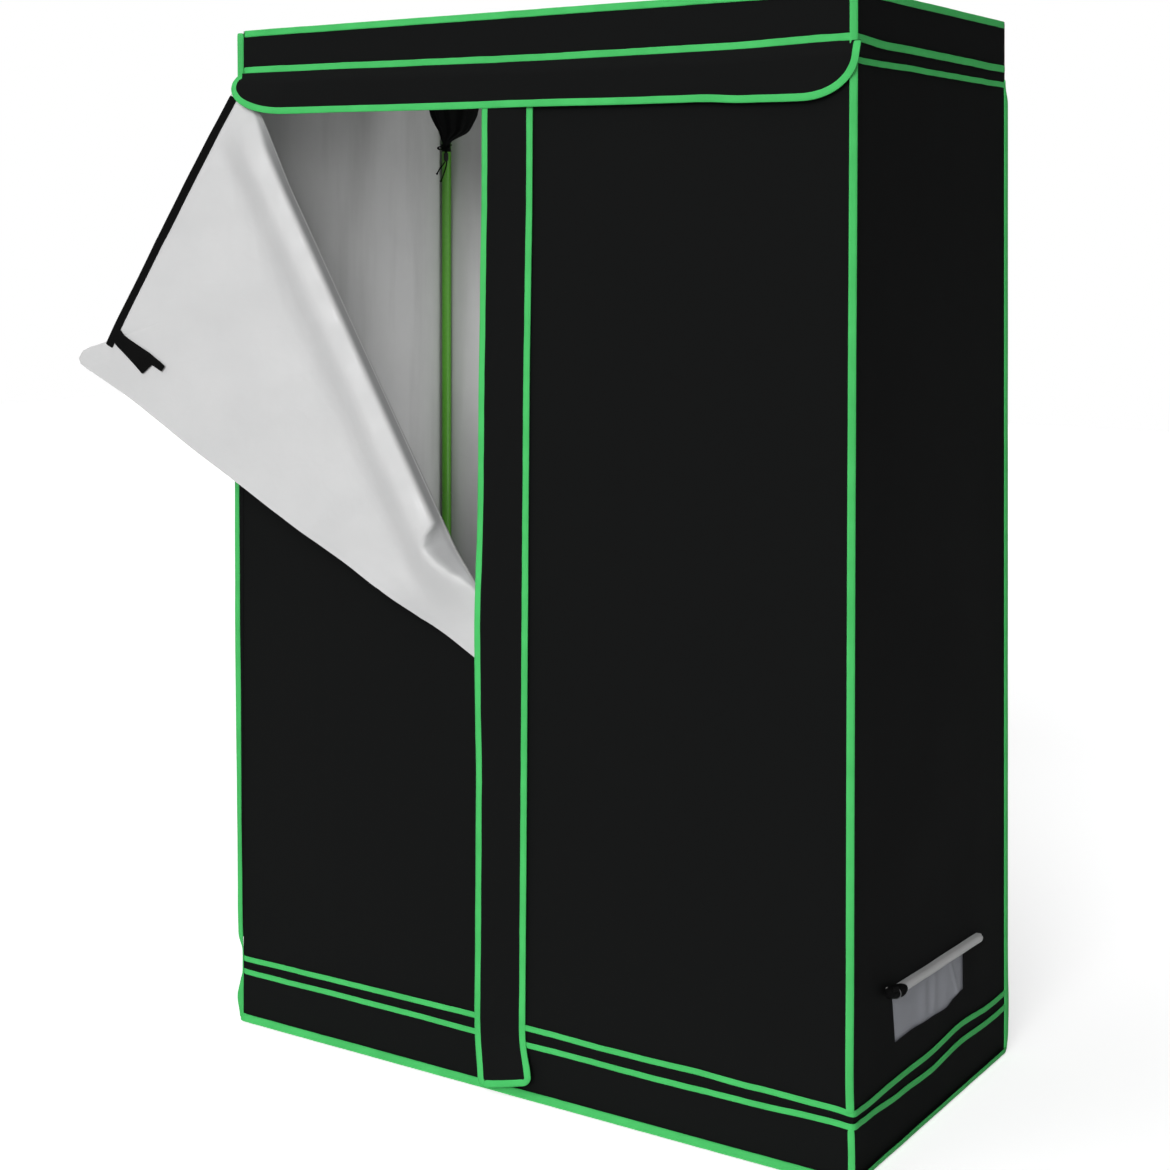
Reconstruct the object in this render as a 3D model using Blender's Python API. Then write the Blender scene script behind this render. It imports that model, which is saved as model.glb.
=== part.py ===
"""Indoor grow tent: a plug-together tube frame inside a sewn cloth cover.

Metres, +Z up. The origin is the middle of the footprint, on the ground. The front faces -Y.
The left door is unzipped and its corner is folded out, which is the rest pose.
"""

import math

import bmesh
import bpy
from mathutils import Matrix, Vector

# Whole tent, measured over the cloth
tent_width = 1.22
tent_depth = 0.61
tent_height = 1.80
cloth = 0.0016
touch_gap = 0.0003
cut_overrun = 0.02

# Tube frame
tube_radius = 0.0095
tube_wall = 0.001
slip_clearance = 0.0003
swage_length = 0.05
swage_shoulder = 0.004
socket_wall = 0.0025
mouth_collar_step = 0.0007
mouth_collar_length = 0.007
socket_reach = 0.048
knuckle_margin = 0.0005
knuckle_bevel = 0.0008
socket_floor = 0.015

# Hanging bars, each hooked over the two long top rails
bar_left_x = -0.18
bar_right_x = 0.30
hook_thickness = 0.0024
hook_width = 0.0182
hook_tongue_reach = 0.034
hook_wrap = math.radians(200)
bar_end_gap = 0.003

# Front of the cover: the base band, the door's top below the roof, and the zip's place
sill_height = 0.0996
door_top_drop = 0.11
zip_x = -0.05
zip_side_gap = 0.0003

# Green binding tape, placed from the roof, and from the top of the base band
tape_width = 0.010
tape_thickness = 0.0012
upper_tape_drop = 0.0765
second_tape_drop = 0.115
lower_tape_rise = 0.0074
lowest_tape_drop = 0.0176

# Folded corner of the left door
fold_end_height = 0.695
fold_angle = math.radians(165)
roll_radius_start = 0.0035
roll_radius_growth = 0.0045
roll_lead_start = 0.004
roll_lead_growth = 0.028
roll_end_radius = 0.0025
roll_end_lead = 0.003
roll_taper_share = 0.80
door_press_start_share = 0.80
door_press_full_share = 0.93
door_press_share = 0.5
door_first_share = 0.02
door_last_share = 0.965
door_top_edge_along = 0.289
door_top_edge_reach = 0.445
door_top_edge_lift = 0.0034
door_tip_back = 0.006
door_tip_out = 0.032
door_tip_round_out = 0.061
door_tip_along = 0.0135
door_low_edge_short = 0.033
door_low_edge_reach = 0.028
door_ripple_height = 0.003
door_ripple_length = 0.23

# Zips
zip_tape_width = 0.012
zip_tape_thickness = 0.0012
zip_bottom_height = 0.12
zip_end_margin = 0.012
slider_width = 0.012
slider_waist = 0.008
slider_height = 0.014
slider_plate = 0.0022
slider_bridge = 0.0008
pull_width = 0.008
pull_length = 0.026
pull_plate = 0.0012
top_slider_margin = 0.045
door_tape_width = 0.015

# Strap on the tip of the door, which ties the rolled door up
strap_width = 0.022
strap_length = 0.098
strap_tip_cut = 0.016
strap_thickness = 0.0014
strap_along = 0.292
strap_back = 0.046
strap_slope = math.radians(-31)

# Storm flap over the top zip
flap_edge_lift = 0.0018
flap_lift = 0.0070
flap_height = 0.0775
flap_ramp_height = 0.020
flap_end_bulge = 0.0125
flap_bulge_start = 0.46
flap_bulge_full = 0.575
flap_left_overhang = 0.0145
flap_left_shoulder = 0.0085
flap_left_widest = 0.0252
flap_left_round = 0.1245
flap_right_overhang = 0.0145
flap_right_round = 0.095
flap_right_rise = 0.070

# Storm strip over the centre zip
strip_width = 0.100
strip_seam_x = 0.030
strip_lean = 0.013
strip_bottom = 0.004
strip_edge_lift = 0.0018
strip_zip_lift = 0.0070
strip_free_lift = 0.0066
strip_push_out = 0.0095
strip_push_rise = 0.065
strip_push_spread = 0.16
strip_corner_round = 0.012
flap_to_strip_gap = 0.002

# Vent in the right wall
vent_front_y = -0.165
vent_back_y = 0.124
vent_low = 0.158
vent_high = 0.228
mesh_margin = 0.010
mesh_strand = 0.0035
mesh_thickness = 0.0012
roll_cloth_radius = 0.0085
roll_front_y = -0.190
roll_back_y = 0.175
roll_height = 0.245
vent_tie_radius = 0.0112
vent_tie_length = 0.050
vent_tie_y = -0.160

# Duct port in the roof, with its sleeve hanging inside
port_x = -0.36
port_y = 0.0
port_radius = 0.049
sleeve_radius = 0.0505
sleeve_wall = 0.0012
sleeve_belly_drop = 0.132
sleeve_belly_radius = 0.044
sleeve_shoulder_drop = 0.170
sleeve_shoulder_radius = 0.033
sleeve_neck_drop = 0.202
sleeve_neck_radius = 0.0068
sleeve_frill_drop = 0.214
sleeve_frill_radius = 0.0105
sleeve_lean = 0.014
pleat_share = 0.16
port_ring_width = 0.011
port_ring_thickness = 0.0014

# Drawstring round the neck of the sleeve, and the barrel that locks it
string_radius = 0.0011
barrel_radius = 0.0048
barrel_bore = 0.0030
barrel_length = 0.014
barrel_drop = 0.015
barrel_front = 0.0125

# Loose tray that covers the floor
tray_clearance = 0.004
tray_height = 0.048
tray_wall = 0.0016

# Facet counts
tube_sides = 16
sleeve_sides = 32
pleats = 8
mesh_columns = 13
mesh_rows = 4

# Worked out from the sizes above
half_width = tent_width / 2
half_depth = tent_depth / 2
front_y = -half_depth
socket_bore = tube_radius + slip_clearance
socket_radius = socket_bore + socket_wall
collar_radius = socket_radius + mouth_collar_step
corner_inset = cloth + touch_gap + collar_radius
corner_x = half_width - corner_inset
corner_y = half_depth - corner_inset
frame_low = corner_inset
frame_high = tent_height - corner_inset
tube_setback = socket_floor + touch_gap
wall_low = cloth + touch_gap
wall_high = tent_height - cloth - touch_gap
door_top = tent_height - door_top_drop
upper_tape_height = tent_height - upper_tape_drop
second_tape_height = tent_height - second_tape_drop
lower_tape_height = sill_height + lower_tape_rise
lowest_tape_height = sill_height - lowest_tape_drop
strip_push_height = fold_end_height + strip_push_rise
sleeve_belly_height = tent_height - sleeve_belly_drop
sleeve_shoulder_height = tent_height - sleeve_shoulder_drop
sleeve_neck_height = tent_height - sleeve_neck_drop
sleeve_frill_height = tent_height - sleeve_frill_drop

X = Vector((1, 0, 0))
Y = Vector((0, 1, 0))
Z = Vector((0, 0, 1))
OUT = -Y
door_turn = math.radians(33)
door_side = Vector((math.cos(door_turn), math.sin(door_turn), 0))
door_front = Vector((math.sin(door_turn), -math.cos(door_turn), 0))


def clear_scene():
    """Start from an empty scene."""
    for obj in list(bpy.data.objects):
        bpy.data.objects.remove(obj, do_unlink=True)


def material(name, colour, roughness, metallic=0.0):
    """A Principled material of one colour."""
    made = bpy.data.materials.new(name)
    made.use_nodes = True
    shader = made.node_tree.nodes["Principled BSDF"]
    shader.inputs["Base Color"].default_value = (*colour, 1)
    shader.inputs["Roughness"].default_value = roughness
    shader.inputs["Metallic"].default_value = metallic
    made.diffuse_color = (*colour, 1)
    return made


def mesh_from(bm, name):
    """Close a bmesh into a mesh whose faces point out."""
    bmesh.ops.remove_doubles(bm, verts=bm.verts, dist=cloth / 1000)
    bmesh.ops.recalc_face_normals(bm, faces=bm.faces)
    mesh = bpy.data.meshes.new(name)
    bm.to_mesh(mesh)
    bm.free()
    return mesh


def add(name, mesh, finish, location=(0, 0, 0), parent=None, smooth=False):
    """Put a mesh in the scene as a named piece, with its origin at location."""
    obj = bpy.data.objects.new(name, mesh)
    bpy.context.scene.collection.objects.link(obj)
    obj.location = location
    if not mesh.materials:
        mesh.materials.append(finish)
    if smooth:
        mesh.shade_smooth()
        mesh.set_sharp_from_angle(angle=math.radians(40))
    if parent:
        obj.parent = parent
        obj.matrix_parent_inverse = Matrix.Translation(parent.location).inverted()
    return obj


def pivot(name, location):
    """An empty on a joint's axis, which carries the pieces that move with it."""
    empty = bpy.data.objects.new(name, None)
    bpy.context.scene.collection.objects.link(empty)
    empty.location = location
    return empty


def point_along(obj, direction):
    """Turn a piece so that its own Z runs along a direction."""
    obj.rotation_mode = "QUATERNION"
    obj.rotation_quaternion = Vector(direction).to_track_quat("Z", "Y")


def box_mesh(name, low, high):
    """A box between two corners."""
    low, high = Vector(low), Vector(high)
    bm = bmesh.new()
    size = high - low
    bmesh.ops.create_cube(bm, size=1)
    bmesh.ops.scale(bm, vec=size, verts=bm.verts)
    bmesh.ops.translate(bm, vec=(low + high) / 2, verts=bm.verts)
    return mesh_from(bm, name)


def turned_mesh(name, profile, sides, closed=False):
    """Revolve a profile of (radius, height) points about Z. A closed profile makes a tube."""
    bm = bmesh.new()
    points = [bm.verts.new((radius, 0, height)) for radius, height in profile]
    ends = list(zip(points, points[1:]))
    if closed:
        ends.append((points[-1], points[0]))
    edges = [bm.edges.new(pair) for pair in ends]
    bmesh.ops.spin(
        bm, geom=points + edges, cent=(0, 0, 0), axis=Z, angle=math.tau, steps=sides, use_merge=True
    )
    return mesh_from(bm, name)


def extruded_mesh(name, outline, start, run):
    """Extrude an outline of points from its plane, first moved by start, through run."""
    bm = bmesh.new()
    corners = [bm.verts.new(Vector(point) + Vector(start)) for point in outline]
    face = bm.faces.new(corners)
    grown = bmesh.ops.extrude_face_region(bm, geom=[face])
    moved = [item for item in grown["geom"] if isinstance(item, bmesh.types.BMVert)]
    bmesh.ops.translate(bm, vec=run, verts=moved)
    return mesh_from(bm, name)


def rows_to_sheet(name, patches, run):
    """Lay quads between the rows of points of each patch and extrude the sheet through run."""
    bm = bmesh.new()
    for rows in patches:
        grid = [[bm.verts.new(point) for point in row] for row in rows]
        for near, far in zip(grid, grid[1:]):
            for k in range(len(near) - 1):
                bm.faces.new((near[k], near[k + 1], far[k + 1], far[k]))
    bmesh.ops.remove_doubles(bm, verts=bm.verts, dist=cloth / 1000)
    grown = bmesh.ops.extrude_face_region(bm, geom=bm.faces)
    moved = [item for item in grown["geom"] if isinstance(item, bmesh.types.BMVert)]
    bmesh.ops.translate(bm, vec=run, verts=moved)
    return mesh_from(bm, name)


def combined(name, base, others, operation):
    """Join meshes to a base mesh, or cut them from it, and return the finished mesh."""
    scratch = [add(f"{name}_tool_{k}", mesh, None) for k, mesh in enumerate([base, *others])]
    for tool in scratch[1:]:
        step = scratch[0].modifiers.new(tool.name, "BOOLEAN")
        step.operation = operation
        step.solver = "EXACT"
        step.object = tool
    graph = bpy.context.evaluated_depsgraph_get()
    made = bpy.data.meshes.new_from_object(scratch[0].evaluated_get(graph))
    made.name = name
    made.materials.clear()
    for tool in scratch:
        bpy.data.objects.remove(tool, do_unlink=True)
    return made


def cut_by(obj, cutter_mesh):
    """Cut a hole in a piece with a hidden cutter."""
    cutter = add(f"{obj.name}_cutter", cutter_mesh, None)
    cutter.hide_render = True
    cutter.display_type = "WIRE"
    step = obj.modifiers.new("opening", "BOOLEAN")
    step.operation = "DIFFERENCE"
    step.solver = "EXACT"
    step.object = cutter


def smooth_step(value, start, full):
    """0 before start, 1 after full, and an even curve between them."""
    share = min(max((value - start) / (full - start), 0), 1)
    return share * share * (3 - 2 * share)


# Tube frame

def tube_profile(length, swaged):
    """Wall of a hollow tube. A swaged one ends in a neck that slips into the next tube."""
    bore = tube_radius - tube_wall
    if not swaged:
        return [(tube_radius, 0), (tube_radius, length), (bore, length), (bore, 0)]
    neck = bore - slip_clearance
    return [
        (tube_radius, 0),
        (tube_radius, length - swage_shoulder),
        (neck, length),
        (neck, length + swage_length),
        (neck - tube_wall, length + swage_length),
        (neck - tube_wall, length),
        (bore, length - swage_shoulder),
        (bore, 0),
    ]


def add_tube(name, start, direction, length, swaged, finish):
    """One tube section from its plain end at start."""
    mesh = turned_mesh(name, tube_profile(length, swaged), tube_sides, closed=True)
    point_along(add(name, mesh, finish, start, smooth=True), direction)


def add_run(names, start, direction, span, finish):
    """Two tube sections that plug together in the middle of a span."""
    half = span / 2
    add_tube(names[0], start, direction, half, True, finish)
    far_start = Vector(start) + Vector(direction) * span
    add_tube(names[1], far_start, -Vector(direction), half - touch_gap, False, finish)


def connector_mesh():
    """Moulded corner: three sockets, each with a collar at its mouth, on a square knuckle."""
    body = [
        (0, 0),
        (socket_radius, 0),
        (socket_radius, socket_reach - mouth_collar_length),
        (collar_radius, socket_reach - mouth_collar_length),
        (collar_radius, socket_reach),
        (0, socket_reach),
    ]
    bore = [
        (0, socket_floor),
        (socket_bore, socket_floor),
        (socket_bore, socket_reach + cut_overrun),
        (0, socket_reach + cut_overrun),
    ]
    arms, bores = [], []
    for axis in (X, Y, Z):
        turn = axis.to_track_quat("Z", "Y").to_matrix().to_4x4()
        for profile, found in ((body, arms), (bore, bores)):
            mesh = turned_mesh("arm", profile, tube_sides)
            mesh.transform(turn)
            found.append(mesh)
    block = bmesh.new()
    bmesh.ops.create_cube(block, size=2 * (socket_radius + knuckle_margin))
    bmesh.ops.bevel(block, geom=block.edges, offset=knuckle_bevel, segments=1, affect="EDGES")
    joined = combined("corner_connector", mesh_from(block, "knuckle"), arms, "UNION")
    return combined("corner_connector", joined, bores, "DIFFERENCE")


def add_connectors(finish):
    """Eight corners share one moulding, turned so that its sockets point into the frame."""
    mesh = connector_mesh()
    for level, height in (("bottom", frame_low), ("top", frame_high)):
        for depth_name, depth_side in (("front", -1), ("back", 1)):
            for width_name, width_side in (("left", -1), ("right", 1)):
                place = (width_side * corner_x, depth_side * corner_y, height)
                name = f"corner_connector_{level}_{depth_name}_{width_name}"
                obj = add(name, mesh, finish, place, smooth=True)
                columns = [-width_side * X, -depth_side * Y, Z if level == "bottom" else -Z]
                if Matrix(columns).determinant() < 0:
                    columns = [columns[1], columns[0], columns[2]]
                obj.rotation_euler = Matrix(columns).transposed().to_euler()


def add_posts(finish):
    """Four posts, each a lower and an upper section."""
    low, high = frame_low + tube_setback, frame_high - tube_setback
    for depth_name, depth_side in (("front", -1), ("back", 1)):
        for width_name, width_side in (("left", -1), ("right", 1)):
            names = [f"post_{part}_{depth_name}_{width_name}" for part in ("lower", "upper")]
            start = (width_side * corner_x, depth_side * corner_y, low)
            add_run(names, start, Z, high - low, finish)


def add_rails(finish):
    """Long rails in two sections, and short side rails in one."""
    for level, height in (("bottom", frame_low), ("top", frame_high)):
        long_span = 2 * (corner_x - tube_setback)
        for depth_name, depth_side in (("front", -1), ("back", 1)):
            names = [f"long_rail_{level}_{depth_name}_{side}" for side in ("left", "right")]
            start = (-long_span / 2, depth_side * corner_y, height)
            add_run(names, start, X, long_span, finish)
        side_span = 2 * (corner_y - tube_setback)
        for width_name, width_side in (("left", -1), ("right", 1)):
            start = (width_side * corner_x, -side_span / 2, height)
            add_tube(f"side_rail_{level}_{width_name}", start, Y, side_span, False, finish)


def hook_outline():
    """Side view of a bar's hook: a strap over the rail, and a tongue that enters the bar."""
    inner = socket_bore
    outer = inner + hook_thickness
    half = hook_thickness / 2
    steps = 12
    first_out, first_in = math.asin(half / outer), -math.asin(half / inner)
    points = []
    for k in range(steps + 1):
        angle = hook_wrap + (first_out - hook_wrap) * k / steps
        points.append((0, outer * math.cos(angle), outer * math.sin(angle)))
    points += [(0, hook_tongue_reach, half), (0, hook_tongue_reach, -half)]
    for k in range(steps + 1):
        angle = first_in + (hook_wrap - first_in) * k / steps
        points.append((0, inner * math.cos(angle), inner * math.sin(angle)))
    return points


def add_hanging_bar(name, place_x, finish):
    """A tube between the long top rails with a hook at each end."""
    inset = socket_bore + hook_thickness + bar_end_gap
    length = 2 * (corner_y - inset)
    tube = turned_mesh(name, tube_profile(length, False), tube_sides, closed=True)
    tube.transform(Y.to_track_quat("Z", "Y").to_matrix().to_4x4())
    tube.transform(Matrix.Translation(Vector((0, inset, 0))))
    near = extruded_mesh(name, hook_outline(), (-hook_width / 2, 0, 0), (hook_width, 0, 0))
    far = near.copy()
    far.transform(Matrix.Translation(Vector((0, 2 * corner_y, 0))) @ Matrix.Rotation(math.pi, 4, "Z"))
    mesh = combined(name, tube, [near, far], "UNION")
    carrier = pivot(f"{name}_slide", (place_x, -corner_y, frame_high))
    add(name, mesh, finish, carrier.location, carrier, smooth=True)


# Cloth cover

def add_panel(name, low, high, finish):
    """One flat panel of the cover."""
    return add(name, box_mesh(name, low, high), finish)


def add_walls(finish):
    """Floor, roof, back, sides, and the two bands of the front."""
    width, depth = half_width, half_depth
    inner_x, inner_y = width - cloth, depth - cloth - touch_gap
    add_panel("floor_panel", (-width, -depth, 0), (width, depth, cloth), finish)
    roof_low = (-width, -depth, tent_height - cloth)
    roof = add_panel("roof_panel", roof_low, (width, depth, tent_height), finish)
    hole = turned_mesh(
        "roof_hole",
        [(0, -cut_overrun), (port_radius, -cut_overrun), (port_radius, cut_overrun), (0, cut_overrun)],
        sleeve_sides,
    )
    hole.transform(Matrix.Translation((port_x, port_y, tent_height)))
    cut_by(roof, hole)
    add_panel("back_wall", (-width, depth - cloth, wall_low), (width, depth, wall_high), finish)
    add_panel("left_wall", (-width, -inner_y, wall_low), (-inner_x, inner_y, wall_high), finish)
    right = add_panel("right_wall", (inner_x, -inner_y, wall_low), (width, inner_y, wall_high), finish)
    window_low = (inner_x - cut_overrun, vent_front_y, vent_low)
    window_high = (width + cut_overrun, vent_back_y, vent_high)
    cut_by(right, box_mesh("vent_hole", window_low, window_high))
    inner_front = front_y + cloth
    header_low = (-width, front_y, door_top + touch_gap)
    add_panel("front_header", header_low, (width, inner_front, wall_high), finish)
    add_panel("front_sill", (-width, front_y, wall_low), (width, inner_front, sill_height), finish)


def add_door_panels(finish):
    """The closed right door, and the part of the left door below the fold."""
    low = sill_height + touch_gap
    inner_front = front_y + cloth
    right_low = (zip_x + zip_side_gap / 2, front_y, low)
    add_panel("front_right_panel", right_low, (half_width, inner_front, door_top), finish)
    right_edge = zip_x - zip_side_gap / 2
    drop = touch_gap * 2
    outline = [
        (-half_width, 0, low),
        (right_edge, 0, low),
        (right_edge, 0, fold_end_height - drop),
        (-half_width, 0, door_top - drop),
    ]
    mesh = extruded_mesh("front_left_panel", outline, (0, front_y, 0), (0, cloth, 0))
    add("front_left_panel", mesh, finish)


# Folded corner of the left door

def fold_frame():
    """Start of the fold, its direction, the way into the opening, and its length."""
    start = Vector((-half_width, front_y + cloth / 2, door_top))
    end = Vector((zip_x, front_y + cloth / 2, fold_end_height))
    along = (end - start).normalized()
    inward = Vector((-along.z, 0, along.x))
    return start, along, inward, (end - start).length


def roll_sizes(share):
    """Radius of the rolled fold and the flat lead before it, at a share of the fold's length."""
    radius = roll_radius_start + roll_radius_growth * share
    lead = roll_lead_start + roll_lead_growth * share
    fade = smooth_step(share, roll_taper_share, 1)
    return radius + (roll_end_radius - radius) * fade, lead + (roll_end_lead - lead) * fade


def flap_direction():
    """The way the folded cloth runs from the roll, as seen across the fold."""
    inward = fold_frame()[2]
    return math.cos(fold_angle) * inward + math.sin(fold_angle) * OUT


def flap_point(distance, reach):
    """A point of the folded flap: distance along the fold, reach away from its roll."""
    start, along, inward, length = fold_frame()
    share = distance / length
    radius = roll_radius_start + roll_radius_growth * share
    lead = roll_lead_start + roll_lead_growth * share
    press = door_press_share * smooth_step(share, door_press_start_share, door_press_full_share)
    back = lead + radius * math.sin(fold_angle) + reach * math.cos(fold_angle)
    out = radius * (1 - math.cos(fold_angle)) + reach * math.sin(fold_angle)
    return start + along * distance + inward * back + OUT * out * (1 - press)


def door_outline():
    """Free edge of the folded corner as (distance along the fold, reach), from top to bottom."""
    length = fold_frame()[3]
    first = door_first_share * length
    slope = (door_top_edge_reach - door_top_edge_lift) / door_top_edge_along
    last = door_last_share * length
    low = (length - door_low_edge_short, door_low_edge_reach)
    tip = (door_top_edge_along + door_tip_along, door_top_edge_reach + door_tip_round_out)
    fall = (low[1] - tip[1]) / (low[0] - tip[0])
    outline = []
    top_steps, low_steps = 6, 18
    for k in range(top_steps + 1):
        distance = first + (door_top_edge_along - door_tip_back - door_tip_back - first) * k / top_steps
        outline.append((distance, door_top_edge_lift + slope * distance))
    outline.append((door_top_edge_along - door_tip_back, door_top_edge_reach + door_tip_out))
    outline.append((door_top_edge_along, door_top_edge_reach + door_tip_round_out - door_tip_back / 2))
    for k in range(low_steps + 1):
        distance = tip[0] + (last - tip[0]) * k / low_steps
        outline.append((distance, tip[1] + fall * (distance - tip[0])))
    return outline


def ripple(distance, reach):
    """Soft waves that run across the hanging cloth and die out at the fold."""
    swell = smooth_step(reach, 0, door_top_edge_reach / 2)
    return door_ripple_height * swell * math.sin(math.tau * distance / door_ripple_length)


def door_section(distance, reach):
    """Middle line of the cloth across the fold: flat lead, roll, and the flap to its free edge."""
    start, along, inward, length = fold_frame()
    radius, lead = roll_sizes(distance / length)
    foot = start + along * distance
    points = [foot + inward * touch_gap]
    roll_steps, flap_steps = 7, 4
    for k in range(roll_steps + 1):
        angle = fold_angle * k / roll_steps
        turn = inward * math.sin(angle) + OUT * (1 - math.cos(angle))
        points.append(foot + inward * lead + turn * radius)
    last, edge = points[-1], flap_point(distance, reach)
    for k in range(1, flap_steps + 1):
        share = k / flap_steps
        points.append(last.lerp(edge, share) + OUT * ripple(distance, reach * share))
    return points


def add_door_corner(finish, tape_finish):
    """The folded corner, its zip tape along the top edge, and the strap on its tip."""
    start, _, inward, _ = fold_frame()
    axis_point = start + inward * roll_lead_start + OUT * roll_radius_start
    carrier = pivot("left_door_fold", axis_point)
    bm = bmesh.new()
    rows = [[bm.verts.new(point) for point in door_section(*edge)] for edge in door_outline()]
    for near, far in zip(rows, rows[1:]):
        for k in range(len(near) - 1):
            bm.faces.new((near[k], far[k], far[k + 1], near[k + 1]))
    mesh = mesh_from(bm, "left_door_corner")
    mesh.transform(Matrix.Translation(-axis_point))
    door = add("left_door_corner", mesh, finish, axis_point, carrier, smooth=True)
    thickness = door.modifiers.new("cloth thickness", "SOLIDIFY")
    thickness.thickness = cloth
    thickness.offset = 0
    thickness.use_even_offset = True
    add_door_tape(tape_finish, carrier)
    add_door_strap(tape_finish, carrier)


def flap_face_point(distance, reach, lift):
    """A point at a lift off the outer face of the folded flap."""
    face = fold_frame()[1].cross(flap_direction())
    face = face if face.y < 0 else -face
    wave = OUT * ripple(distance, reach)
    return flap_point(distance, reach) + wave + face * (cloth / 2 + lift)


def add_door_tape(finish, carrier):
    """Black zip tape along the top edge of the folded corner."""
    first = 3 * door_first_share * fold_frame()[3]
    slope = (door_top_edge_reach - door_top_edge_lift) / door_top_edge_along
    across = door_tape_width * math.sqrt(1 + slope * slope)
    steps = 8
    rows = []
    for k in range(steps + 1):
        distance = first + (door_top_edge_along - door_tip_back * 3 - first) * k / steps
        edge = door_top_edge_lift + slope * distance
        rows.append([flap_face_point(distance, reach, 3 * touch_gap) for reach in (edge - across, edge)])
    lift = flap_face_point(first, 0, zip_tape_thickness) - flap_face_point(first, 0, 0)
    mesh = rows_to_sheet("door_zip_tape", [rows], lift)
    mesh.transform(Matrix.Translation(-carrier.location))
    add("door_zip_tape", mesh, finish, carrier.location, carrier)


def add_door_strap(finish, carrier):
    """Webbing strap at the end of the zip tape, with its free end cut to a fishtail."""
    half = strap_width / 2
    shape = [
        (0, -half),
        (strap_length, -half),
        (strap_length - strap_tip_cut, 0),
        (strap_length, half),
        (0, half),
    ]
    turn = Matrix.Rotation(strap_slope, 2)
    centre_reach = door_top_edge_reach - strap_back
    placed = [turn @ Vector(point) for point in shape]
    lift = 2 * touch_gap
    points = [
        flap_face_point(strap_along + point.x, centre_reach + point.y, lift) for point in placed
    ]
    run = flap_face_point(strap_along, 0, strap_thickness) - flap_face_point(strap_along, 0, 0)
    flat = flattened(points, run.normalized())
    mesh = extruded_mesh("door_tie_strap", flat, (0, 0, 0), run)
    mesh.transform(Matrix.Translation(-carrier.location))
    add("door_tie_strap", mesh, finish, carrier.location, carrier)


def flattened(points, normal):
    """The points moved along a normal on to the highest plane that any of them needs."""
    top = max(point.dot(normal) for point in points)
    return [point + normal * (top - point.dot(normal)) for point in points]


# Storm flap and storm strip

def flap_surface(x, height, lift=0.0):
    """Where the flap's inner face lies off the front, at a place on it."""
    seam = upper_tape_height - touch_gap
    fall = seam - height
    ramp = smooth_step(fall, 0, flap_ramp_height)
    bulge = flap_end_bulge * smooth_step(-x, flap_bulge_start, flap_bulge_full)
    bulge *= math.sin(math.pi / 2 * min(fall / flap_height, 1))
    return Vector((x, front_y - flap_edge_lift - flap_lift * ramp - bulge - lift, height))


def flap_edge_path():
    """Free edge of the flap from the top left, round its left end, to the top right.

    Each point comes with the point of the flap's middle line that lies across from it.
    """
    seam = upper_tape_height - touch_gap
    low = seam - flap_height
    middle = seam - flap_height / 2
    left = -half_width - flap_left_overhang
    right = half_width + flap_right_overhang
    fan_left = left + flap_height / 2
    fan_right = right - flap_right_round
    path = [
        (fan_left, seam),
        (-half_width, seam),
        (left + flap_left_overhang / 4, seam - flap_left_shoulder),
    ]
    round_steps, edge_steps, corner_steps = 7, 12, 7
    for k in range(round_steps + 1):
        angle = math.pi / 2 * k / round_steps
        fall = (flap_height - flap_left_widest) * math.sin(angle)
        path.append((left + flap_left_round * (1 - math.cos(angle)), seam - flap_left_widest - fall))
    start = left + flap_left_round
    for k in range(1, edge_steps):
        path.append((start + (fan_right - start) * k / edge_steps, low))
    across = [(min(max(x, fan_left), fan_right), middle) for x, _ in path]
    for k in range(corner_steps + 1):
        angle = math.pi / 2 * k / corner_steps
        rise = flap_right_rise * (1 - math.cos(angle))
        path.append((fan_right + flap_right_round * math.sin(angle), low + rise))
        across.append((fan_right, middle if k < corner_steps else seam - tape_width))
    path.append((right, seam))
    across.append((fan_right, seam))
    return path, across


def inset_path(path, width):
    """The same path moved inwards, to the left of its direction of travel."""
    moved = []
    for k, point in enumerate(path):
        before, after = path[max(k - 1, 0)], path[min(k + 1, len(path) - 1)]
        run = Vector((after[0] - before[0], after[1] - before[1])).normalized()
        moved.append((point[0] - run.y * width, point[1] + run.x * width))
    return moved


def add_top_flap(finish, tape_finish):
    """Storm flap over the top zip, with binding round its free edge."""
    seam = upper_tape_height - touch_gap
    hinge = Vector((0, front_y - flap_edge_lift - cloth, seam))
    carrier = pivot("top_flap_hinge", hinge)
    edge, across = flap_edge_path()
    inner = inset_path(edge, tape_width)
    inner[:2] = [(x, seam - tape_width) for x, _ in edge[:2]]
    columns = sorted({x for x, _ in across})
    middle = across[0][1]
    lower = [[flap_surface(*point) for point in path] for path in (edge, inner, across)]
    upper = [[flap_surface(x, height) for x in columns] for height in (middle, seam - tape_width, seam)]
    mesh = rows_to_sheet("top_zip_flap", [lower, upper], OUT * cloth)
    mesh.transform(Matrix.Translation(-hinge))
    add("top_zip_flap", mesh, finish, hinge, carrier, smooth=True)
    lift = cloth + touch_gap
    band = [[flap_surface(*point, lift) for point in path[1:]] for path in (edge, inner)]
    mesh = rows_to_sheet("top_flap_binding", [band], OUT * tape_thickness)
    mesh.transform(Matrix.Translation(-hinge))
    add("top_flap_binding", mesh, tape_finish, hinge, carrier, smooth=True)


def strip_surface(across, height, lift=0.0):
    """A point of the strip's inner face, across from its seam and up from its lower end."""
    zip_across = strip_seam_x - zip_x
    rise = smooth_step(across, 0, zip_across * 0.75)
    bow = (strip_zip_lift - strip_edge_lift) * rise
    bow += (strip_free_lift - strip_zip_lift) * smooth_step(across, zip_across, strip_width)
    reach = (height + strip_bottom - strip_push_height) / strip_push_spread
    push = strip_push_out * math.exp(-reach * reach) * smooth_step(across, 0, strip_width)
    return Vector((-across, -(bow + push + lift), height))


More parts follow.
